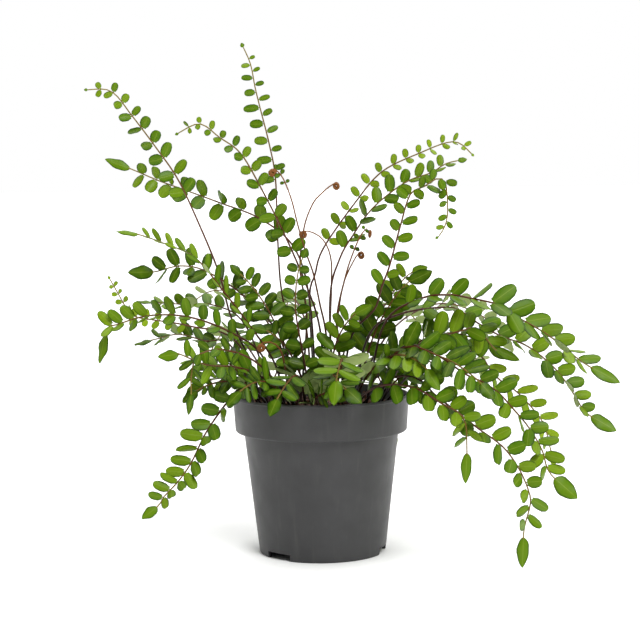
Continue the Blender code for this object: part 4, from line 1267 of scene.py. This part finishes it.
def stalk_rings(stalk, end):
    """Rings every few millimetres from the foot to a distance along the stalk."""
    count = max(2, round(end / STALK_STEP))
    rings = []
    for number in range(count + 1):
        distance = end * number / count
        growth, _, right = stalk.frame(distance)
        share = distance / stalk.blade_end
        radius = STALK_FOOT_RADIUS + (STALK_TIP_RADIUS - STALK_FOOT_RADIUS) * share
        rings.append((ring_place(stalk.point(distance), growth, right, radius), share))
    return rings


ring_counts = [len(stalk_rings(stalk, stalk.length)) for stalk in stalks.values()]
print("rings in a stalk:", min(ring_counts), "to", max(ring_counts))

# %% [markdown]
# ## Leaf, stalk and scale finishes
#
# A button fern's leaflet has a waxy skin over a deep green. It is paler and yellower along the midrib,
# and a dark rim of painted shade runs along its edge, where the edge rolls under and turns from the
# light. Young leaflets are yellow green and old ones deep green, so a number called tone on each
# leaflet picks its place between three greens. The pattern follows the blade, so it reads the blade's
# own UV
# map: X runs from foot to tip and Y across.


# %% Fronds: waxy upper skin
def waxy_leaf_skin():
    material, tree = new_material("waxy fern leaf, upper side")
    tone = add_node(tree, "ShaderNodeAttribute", attribute_name="tone").outputs["Fac"]
    blade = add_node(tree, "ShaderNodeUVMap", uv_map="blade").outputs["UV"]
    across = add_node(tree, "ShaderNodeSeparateXYZ", {"Vector": blade}).outputs["Y"]
    centred = add_node(tree, "ShaderNodeMath", {0: across, 1: 0.5}, operation="SUBTRACT")
    from_midrib = add_node(tree, "ShaderNodeMath", {0: centred.outputs[0]}, operation="ABSOLUTE")
    margin = add_node(tree, "ShaderNodeMath", {0: from_midrib.outputs[0], 1: 2.0}, operation="MULTIPLY")
    place = add_node(tree, "ShaderNodeTexCoord").outputs["Object"]
    mottle = add_node(
        tree, "ShaderNodeTexNoise", {"Vector": place, "Scale": 1 / (3.5 * MM), "Detail": 3.0}
    )
    pores = add_node(
        tree, "ShaderNodeTexNoise", {"Vector": place, "Scale": 1 / (0.6 * MM), "Detail": 2.0}
    )
    young, edge, blotch = tone, margin.outputs[0], mottle.outputs["Fac"]
    greens = [  # what sets the share, where it starts and ends, the share there, the colour
        (young, 0.05, 0.5, 0.0, 1.0, "#446a07"),
        (young, 0.5, 1.0, 0.0, 1.0, "#84a01c"),
        (blotch, 0.42, 0.68, 0.0, 0.35, "#5d780c"),
        (edge, 0.0, 0.8, 0.3, 0.0, "#6f8518"),
        (edge, 0.02, 0.07, 0.25, 0.0, "#93a64a"),
        # painted shade: the margin darkens towards the rolled-under edge
        (edge, 0.7, 1.0, 0.0, 0.75, "#142603"),
    ]
    green = linear("#1a3304")
    for value, start, end, low, high, above in greens:
        share = add_node(
            tree,
            "ShaderNodeMapRange",
            {"Value": value, "From Min": start, "From Max": end, "To Min": low, "To Max": high},
        )
        mixed = add_node(
            tree,
            "ShaderNodeMix",
            {MIX_FACTOR: share.outputs["Result"], MIX_A: green, MIX_B: linear(above)},
            data_type="RGBA",
        )
        green = mixed.outputs[MIX_COLOUR]
    groove = add_node(tree, "ShaderNodeMapRange", {"Value": edge, "From Max": 0.14})
    relief = add_node(
        tree,
        "ShaderNodeMath",
        {0: pores.outputs["Fac"], 1: 0.35, 2: groove.outputs["Result"]},
        operation="MULTIPLY_ADD",
    )
    bump = add_node(
        tree,
        "ShaderNodeBump",
        {"Height": relief.outputs[0], "Strength": 0.5, "Distance": 0.12 * MM},
    )
    gloss = add_node(
        tree,
        "ShaderNodeMapRange",
        {"Value": blotch, "From Min": 0.3, "From Max": 0.7, "To Min": 0.28, "To Max": 0.42},
    )
    give_surface(
        tree,
        {
            "Base Color": green,
            "Roughness": gloss.outputs["Result"],
            "Specular IOR Level": 0.1,
            "Normal": bump.outputs["Normal"],
        },
    )
    return material


leaf_upper = waxy_leaf_skin()
print("nodes in the leaf's upper skin:", len(leaf_upper.node_tree.nodes))

# %% [markdown]
# The underside is pale grey green and quite matt, because the wax is thinner and breathing pores
# scatter the light. The stalk is nearly black purple at its foot, chestnut higher up and olive where
# the last leaflets open; here tone is the share along the stalk. A crozier is wrapped in rust-brown
# papery scales, so it looks rough and dull.


# %% Fronds: underside, stalk and scales
def matt_underside():
    material, tree = new_material("matt fern leaf, underside")
    tone = add_node(tree, "ShaderNodeAttribute", attribute_name="tone").outputs["Fac"]
    place = add_node(tree, "ShaderNodeTexCoord").outputs["Object"]
    mottle = add_node(
        tree, "ShaderNodeTexNoise", {"Vector": place, "Scale": 1 / (1.6 * MM), "Detail": 4.0}
    )
    aged = add_node(
        tree,
        "ShaderNodeMix",
        {MIX_FACTOR: tone, MIX_A: linear("#62783c"), MIX_B: linear("#a5b56a")},
        data_type="RGBA",
    )
    colour = add_node(
        tree,
        "ShaderNodeMix",
        {
            MIX_FACTOR: mottle.outputs["Fac"],
            MIX_A: aged.outputs[MIX_COLOUR],
            MIX_B: linear("#93a468"),
        },
        data_type="RGBA",
    )
    bump = add_node(
        tree,
        "ShaderNodeBump",
        {"Height": mottle.outputs["Fac"], "Strength": 0.3, "Distance": 0.1 * MM},
    )
    give_surface(
        tree,
        {
            "Base Color": colour.outputs[MIX_COLOUR],
            "Roughness": 0.62,
            "Specular IOR Level": 0.15,
            "Normal": bump.outputs["Normal"],
        },
    )
    return material


def fern_stalk(name, foot, middle, tip, roughness, hair):
    """A stalk that passes through three colours from its foot to its tip."""
    material, tree = new_material(name)
    tone = add_node(tree, "ShaderNodeAttribute", attribute_name="tone").outputs["Fac"]
    place = add_node(tree, "ShaderNodeTexCoord").outputs["Object"]
    lower = add_node(tree, "ShaderNodeMapRange", {"Value": tone, "From Min": 0.12, "From Max": 0.5})
    upper = add_node(tree, "ShaderNodeMapRange", {"Value": tone, "From Min": 0.55, "From Max": 0.95})
    first = add_node(
        tree,
        "ShaderNodeMix",
        {MIX_FACTOR: lower.outputs["Result"], MIX_A: linear(foot), MIX_B: linear(middle)},
        data_type="RGBA",
    )
    second = add_node(
        tree,
        "ShaderNodeMix",
        {
            MIX_FACTOR: upper.outputs["Result"],
            MIX_A: first.outputs[MIX_COLOUR],
            MIX_B: linear(tip),
        },
        data_type="RGBA",
    )
    scurf = add_node(
        tree, "ShaderNodeTexNoise", {"Vector": place, "Scale": 1 / (0.8 * MM), "Detail": 4.0}
    )
    bump = add_node(
        tree,
        "ShaderNodeBump",
        {"Height": scurf.outputs["Fac"], "Strength": 0.6, "Distance": hair},
    )
    give_surface(
        tree,
        {
            "Base Color": second.outputs[MIX_COLOUR],
            "Roughness": roughness,
            "Specular IOR Level": 0.25,
            "Normal": bump.outputs["Normal"],
        },
    )
    return material


leaf_under = matt_underside()
wiry_stalk = fern_stalk("wiry fern stalk", "#1a0c09", "#552c16", "#7c6c28", 0.4, 0.08 * MM)
scaly_stalk = fern_stalk("scaly crozier stalk", "#241009", "#553014", "#7c4c22", 0.7, 0.3 * MM)
print("plant finishes:", [m.name for m in (leaf_upper, leaf_under, wiry_stalk, scaly_stalk)])

# %% [markdown]
# ## Growing the fronds
#
# Each frond is one piece, because it grew as one leaf: its stalk, its leaflets in both rows and the
# long leaflet at its end. Leaflets open in turn, so those near the tip are younger and paler. Each
# frond has its own seeded dice, so a change to one leaves the others as they are.


# %% Fronds: grow the open ones
def blade_place(root, axis, upper):
    """A matrix with X along a blade and Z out of its upper side."""
    turn = Matrix((axis, upper.cross(axis), upper)).transposed().to_4x4()
    return Matrix.Translation(root) @ turn


def blank_bmesh():
    """An empty bmesh with the layers that a blade and a tube write to."""
    bm = bmesh.new()
    layers = (bm.loops.layers.uv.new("blade"), bm.verts.layers.float.new("tone"))
    return bm, layers


BLADE_SPREAD = 1.1  # over the plain slab that stands for a leaflet in the measured model
BLADE_TWIST = math.radians(22)  # how much leaflets differ in how far they have turned edge-on
YOUTH_TONE = 0.22  # how much paler the last leaflets of a frond are
TONE_SPREAD = 0.16
LEAST_TONE = 0.02
ROOT_SHARE = 0.3  # of the stalk's radius: how far out a leaflet's foot sits, so that it joins


def add_pinnae(bm, layers, frond, stalk, luck):
    """The leaflets of both rows."""
    for pinna in places[frond.name]:
        youth = (pinna.distance / stalk.length - frond.bare) / (1 - frond.bare)
        tone = frond.age + YOUTH_TONE * youth**2 + luck.uniform(-TONE_SPREAD, TONE_SPREAD)
        outward = pinna.root - stalk.point(pinna.distance)
        root = stalk.point(pinna.distance) + outward * ROOT_SHARE
        twist = Matrix.Rotation(luck.gauss(0, BLADE_TWIST), 4, "X")
        add_blade(
            bm,
            layers,
            blade_place(root, pinna.axis, pinna.upper) @ twist,
            pinna.length * BLADE_SPREAD,
            pinna.width * BLADE_SPREAD,
            min(max(tone, LEAST_TONE), 1.0),
            side=pinna.side,
            limp=luck.uniform(-0.02, 0.12),
            curl=luck.uniform(0.02, 0.3),
        )


def make_frond(frond):
    """An open frond: its stalk, both rows of leaflets and the long leaflet at its end."""
    stalk = stalks[frond.name]
    luck = random.Random(frond.name + " looks")
    bm, layers = blank_bmesh()
    add_tube(bm, layers, stalk_rings(stalk, stalk.length + 0.1 * frond.tip_length), STALK)
    add_pinnae(bm, layers, frond, stalk, luck)
    upper = stalk.frame(stalk.length)[1]
    tip_axis = (stalk.point(stalk.blade_end) - stalk.point(stalk.length)).normalized()
    tip_upper = (upper - upper.dot(tip_axis) * tip_axis).normalized()
    add_blade(
        bm,
        layers,
        blade_place(stalk.point(stalk.length), tip_axis, tip_upper),
        frond.tip_length,
        frond.tip_width,
        min(frond.age + 0.08, 1.0),
        lance=True,
        limp=luck.uniform(0, 0.1),
    )
    finishes = [leaf_upper, leaf_under, wiry_stalk]
    return piece_from(bm, frond.name + "_leaf", finishes, frond.name)


grown = [make_frond(frond) for frond in FRONDS if not frond.name.startswith("crozier")]
print(len(grown), "open fronds, with", sum(len(obj.data.polygons) for obj in grown), "faces")

# %% [markdown]
# A crozier has a bare stalk that ends in a coil, and a few also bear small crumpled leaflets. The coil
# is more rings of the stalk's own tube: they thicken, then thin, as the circle that they follow
# tightens.

# %% Croziers: roll each one up
COIL_TURNS = 1.5
COIL_RADIUS = 2.3 * MM
COIL_TIGHTENING = 0.62  # share of the radius that is lost towards the middle
COIL_DRIFT = 0.5 * MM  # sideways, so that the coil clears itself
COIL_STEPS = 18


def coil_rings(stalk):
    """Rings that roll the last stretch of a crozier into a coil."""
    growth = stalk.growth(stalk.length)
    inward = (Vector((0, 0, -1)) - growth * -growth.z).normalized()
    axle = growth.cross(inward)
    centre = stalk.point(stalk.length) + inward * COIL_RADIUS
    rings = []
    for step in range(1, COIL_STEPS + 1):
        share = step / COIL_STEPS
        angle = math.tau * COIL_TURNS * share
        radius = COIL_RADIUS * (1 - COIL_TIGHTENING * share)
        spoke = growth * math.sin(angle) - inward * math.cos(angle)
        ahead = growth * math.cos(angle) + inward * math.sin(angle)
        thick = STALK_TIP_RADIUS * (1.5 + 1.4 * math.sin(math.pi * share))
        drift = axle * (COIL_DRIFT * share)
        rings.append((ring_place(centre + spoke * radius + drift, ahead, axle, thick), 1.0))
    return rings


def make_crozier(frond):
    """A young frond that is still coiled: its stalk and coil are one tube."""
    stalk = stalks[frond.name]
    luck = random.Random(frond.name + " looks")
    bm, layers = blank_bmesh()
    rings = stalk_rings(stalk, stalk.length)
    add_tube(bm, layers, rings + coil_rings(stalk), STALK)
    add_pinnae(bm, layers, frond, stalk, luck)
    finishes = [leaf_upper, leaf_under, scaly_stalk]
    return piece_from(bm, frond.name + "_shoot", finishes, frond.name)


coiled = [make_crozier(frond) for frond in FRONDS if frond.name.startswith("crozier")]
print(len(coiled), "croziers, with", sum(len(obj.data.polygons) for obj in coiled), "faces")

# %% [markdown]
# ## The rootstock
#
# Fern stalks rise from a creeping rootstock that branches just above the soil. It is knobbly, covered
# in brown scales, and still bears the stubs of old stalks. Short tubes creep from the middle to each
# frond's foot, with a knob where the stalk stands, and stubs lean out of them.

# %% Rootstock: creeping branches, knobs and old stubs
SCALY, WORN = range(2)  # material slots of the rootstock
BRANCH_RADIUS = 1.5 * MM
BRANCH_STEPS = 6
BRANCH_TONE = 0.3
KNOB_RADIUS = 2.1 * MM
STUBS = 40
STUB_RADIUS = 0.6 * MM
crown_low, crown_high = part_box("rhizome")
crown_bm, crown_layers = blank_bmesh()
creep = random.Random("rootstock")
crown_height = (crown_low.z + crown_high.z) / 2


def noisy_rings(start, end, radius):
    """Rings of a knobbly branch between two points."""
    line = end - start
    growth = line.normalized()
    right = growth.cross(Vector((0, 0, 1))).normalized()
    rings = []
    for step in range(BRANCH_STEPS + 1):
        share = step / BRANCH_STEPS
        middle = start + line * share
        swell = 1 + 0.35 * noise.noise(middle / (3 * MM))
        middle.z += 0.5 * MM * noise.noise(middle / (7 * MM))
        rings.append((ring_place(middle, growth, right, radius * swell), BRANCH_TONE))
    return rings


feet = sorted((frond.route[0].copy() for frond in FRONDS), key=lambda foot: foot.xy.length)
for index, foot in enumerate(feet):
    knob = Matrix.Translation((foot.x, foot.y, crown_height)) @ Matrix.Diagonal(
        (KNOB_RADIUS, KNOB_RADIUS, (FROND_FOOT - crown_height) * 1.25, 1)
    )
    bmesh.ops.create_icosphere(crown_bm, subdivisions=2, radius=1, matrix=knob)
    nearer = feet[:index]
    if nearer:
        parent = min(nearer, key=lambda other: (other - foot).length)
        start = Vector((parent.x, parent.y, crown_height))
        end = Vector((foot.x, foot.y, crown_height))
        add_tube(crown_bm, crown_layers, noisy_rings(start, end, BRANCH_RADIUS), SCALY)
for number in range(STUBS):
    base = creep.choice(feet) + Vector((creep.uniform(-6, 6), creep.uniform(-6, 6), 0)) * MM
    base.z = crown_height
    lean = Vector((creep.uniform(-0.7, 0.7), creep.uniform(-0.7, 0.7), 1)).normalized()
    stub_end = base + lean * creep.uniform(4, 11) * MM
    add_tube(crown_bm, crown_layers, noisy_rings(base, stub_end, STUB_RADIUS), WORN)
root_finishes = [
    mottled("scaly fern rootstock", "#1a0d07", "#54301a", 1.2 * MM, 0.85, 0.4 * MM),
    mottled("old fern stub", "#2a130b", "#6b3f22", 2.0 * MM, 0.6, 0.1 * MM),
]
rootstock = piece_from(crown_bm, "rootstock", root_finishes, "rhizome", 60)
print("rootstock:", len(rootstock.data.polygons), "faces")

# %% [markdown]
# ## Studio
#
# The floor is plain white paper, so wide that its edge is never seen. It carries a painted glow, an
# emission that washes its shadows out, except close to the pot, where the contact shadow stays.

# %% Studio: floor
FLOOR_RADIUS = 20.0
PAINTED_FLOOR_GLOW = 0.16  # painted glow that thins the floor's shadows out, but not under the pot
floor_bm = bmesh.new()
bmesh.ops.create_circle(floor_bm, cap_ends=True, segments=64, radius=FLOOR_RADIUS)
floor = add_object("floor", mesh_from(floor_bm, "floor"))
paper, paper_tree = new_material("white paper sweep")
floor_place = add_node(paper_tree, "ShaderNodeTexCoord").outputs["Object"]
from_pot = add_node(paper_tree, "ShaderNodeVectorMath", {0: floor_place}, operation="LENGTH")
# Painted glow: the floor emits light, from none within 44 mm of the pot's axis to full at 62 mm.
painted_glow = add_node(
    paper_tree,
    "ShaderNodeMapRange",
    {
        "Value": from_pot.outputs["Value"],
        "From Min": 44 * MM,
        "From Max": 62 * MM,
        "To Max": PAINTED_FLOOR_GLOW,
    },
)
give_surface(
    paper_tree,
    {
        "Base Color": linear("#f7f7f7"),
        "Roughness": 0.9,
        "Emission Color": (1, 1, 1, 1),
        "Emission Strength": painted_glow.outputs["Result"],
    },
)
floor.data.materials.append(paper)
print("floor:", 2 * FLOOR_RADIUS, "m wide")

# %% [markdown]
# The sky is plain white to the camera. It lights the plant from behind and above, and is dim in
# front, so that the pot's face stays dark. The standard view shows the greens as they are mixed.

# %% Studio: sky
FRONT_SKY, BACK_SKY = 0.1, 0.95  # the room behind the camera is dimmer than the backdrop
world = bpy.data.worlds.new("white studio")
world.use_nodes = True
sky_tree = world.node_tree
sky_tree.nodes.clear()
seen = add_node(sky_tree, "ShaderNodeBackground", {"Color": (1, 1, 1, 1), "Strength": 1.0})
heading = add_node(sky_tree, "ShaderNodeTexCoord").outputs["Generated"]
heading_parts = add_node(sky_tree, "ShaderNodeSeparateXYZ", {"Vector": heading})
raised = add_node(
    sky_tree,
    "ShaderNodeMath",
    {0: heading_parts.outputs["Z"], 1: 0.6, 2: heading_parts.outputs["Y"]},
    operation="MULTIPLY_ADD",
)
backdrop = add_node(
    sky_tree,
    "ShaderNodeMath",
    {0: heading_parts.outputs["X"], 1: 0.14, 2: raised.outputs[0]},
    operation="MULTIPLY_ADD",
)
sky_level = add_node(
    sky_tree,
    "ShaderNodeMapRange",
    {
        "Value": backdrop.outputs[0],
        "From Min": -0.1,
        "From Max": 0.6,
        "To Min": FRONT_SKY,
        "To Max": BACK_SKY,
    },
    interpolation_type="SMOOTHSTEP",
)
lit = add_node(
    sky_tree,
    "ShaderNodeBackground",
    {"Color": (1, 1, 1, 1), "Strength": sky_level.outputs["Result"]},
)
straight = add_node(sky_tree, "ShaderNodeLightPath").outputs["Is Camera Ray"]
sky = add_node(sky_tree, "ShaderNodeMixShader", {0: straight, 1: lit.outputs[0], 2: seen.outputs[0]})
add_node(sky_tree, "ShaderNodeOutputWorld", {"Surface": sky.outputs[0]})
bpy.context.scene.world = world
bpy.context.scene.view_settings.view_transform = "Standard"
print("nodes in the sky:", len(sky_tree.nodes))

# %% [markdown]
# A broad key light shines from the upper right, and a softbox hangs overhead, a little behind. Both
# are suns with a wide angle, so their shadows are soft and their strength is the same everywhere.


# %% Studio: lights
def add_sun(name, strength, spread, azimuth, elevation):
    """A sun from an azimuth (degrees from the front, towards the right) and elevation."""
    light = bpy.data.lights.new(name, "SUN")
    light.energy = strength
    light.angle = math.radians(spread)
    obj = add_object(name, light)
    turn, tilt = math.radians(azimuth), math.radians(elevation)
    source = Vector(
        (math.sin(turn) * math.cos(tilt), -math.cos(turn) * math.cos(tilt), math.sin(tilt))
    )
    obj.rotation_mode = "QUATERNION"
    obj.rotation_quaternion = source.to_track_quat("Z", "Y")


add_sun("key_softbox", 2.8, 30, 26, 46)
add_sun("top_softbox", 1.2, 50, 170, 65)
print("studio lights:", len(bpy.data.lights))

# %% [markdown]
# The camera stands level with the middle of the plant and looks down a little, with a long lens, as
# for a catalogue picture. A long lens keeps the pot's sides nearly parallel.

# %% Studio: camera
CAMERA_DISTANCE = 1.17
CAMERA_HEIGHT = 0.26
CAMERA_PITCH = 5.0  # degrees below the horizon
CAMERA_ROLL = -0.7
LENS = 97.65  # focal length in mm, for a sensor as wide as 35 mm film
SENSOR_WIDTH = 36
camera_data = bpy.data.cameras.new("camera")
camera_data.lens = LENS
camera_data.sensor_width = SENSOR_WIDTH
camera = add_object("camera", camera_data)
camera.matrix_world = (
    Matrix.Translation((0, -CAMERA_DISTANCE, CAMERA_HEIGHT))
    @ Matrix.Rotation(math.radians(90 - CAMERA_PITCH), 4, "X")
    @ Matrix.Rotation(math.radians(CAMERA_ROLL), 4, "Z")
)
bpy.context.scene.camera = camera
print("camera", CAMERA_DISTANCE, "m in front of the pot, lens", LENS, "mm")
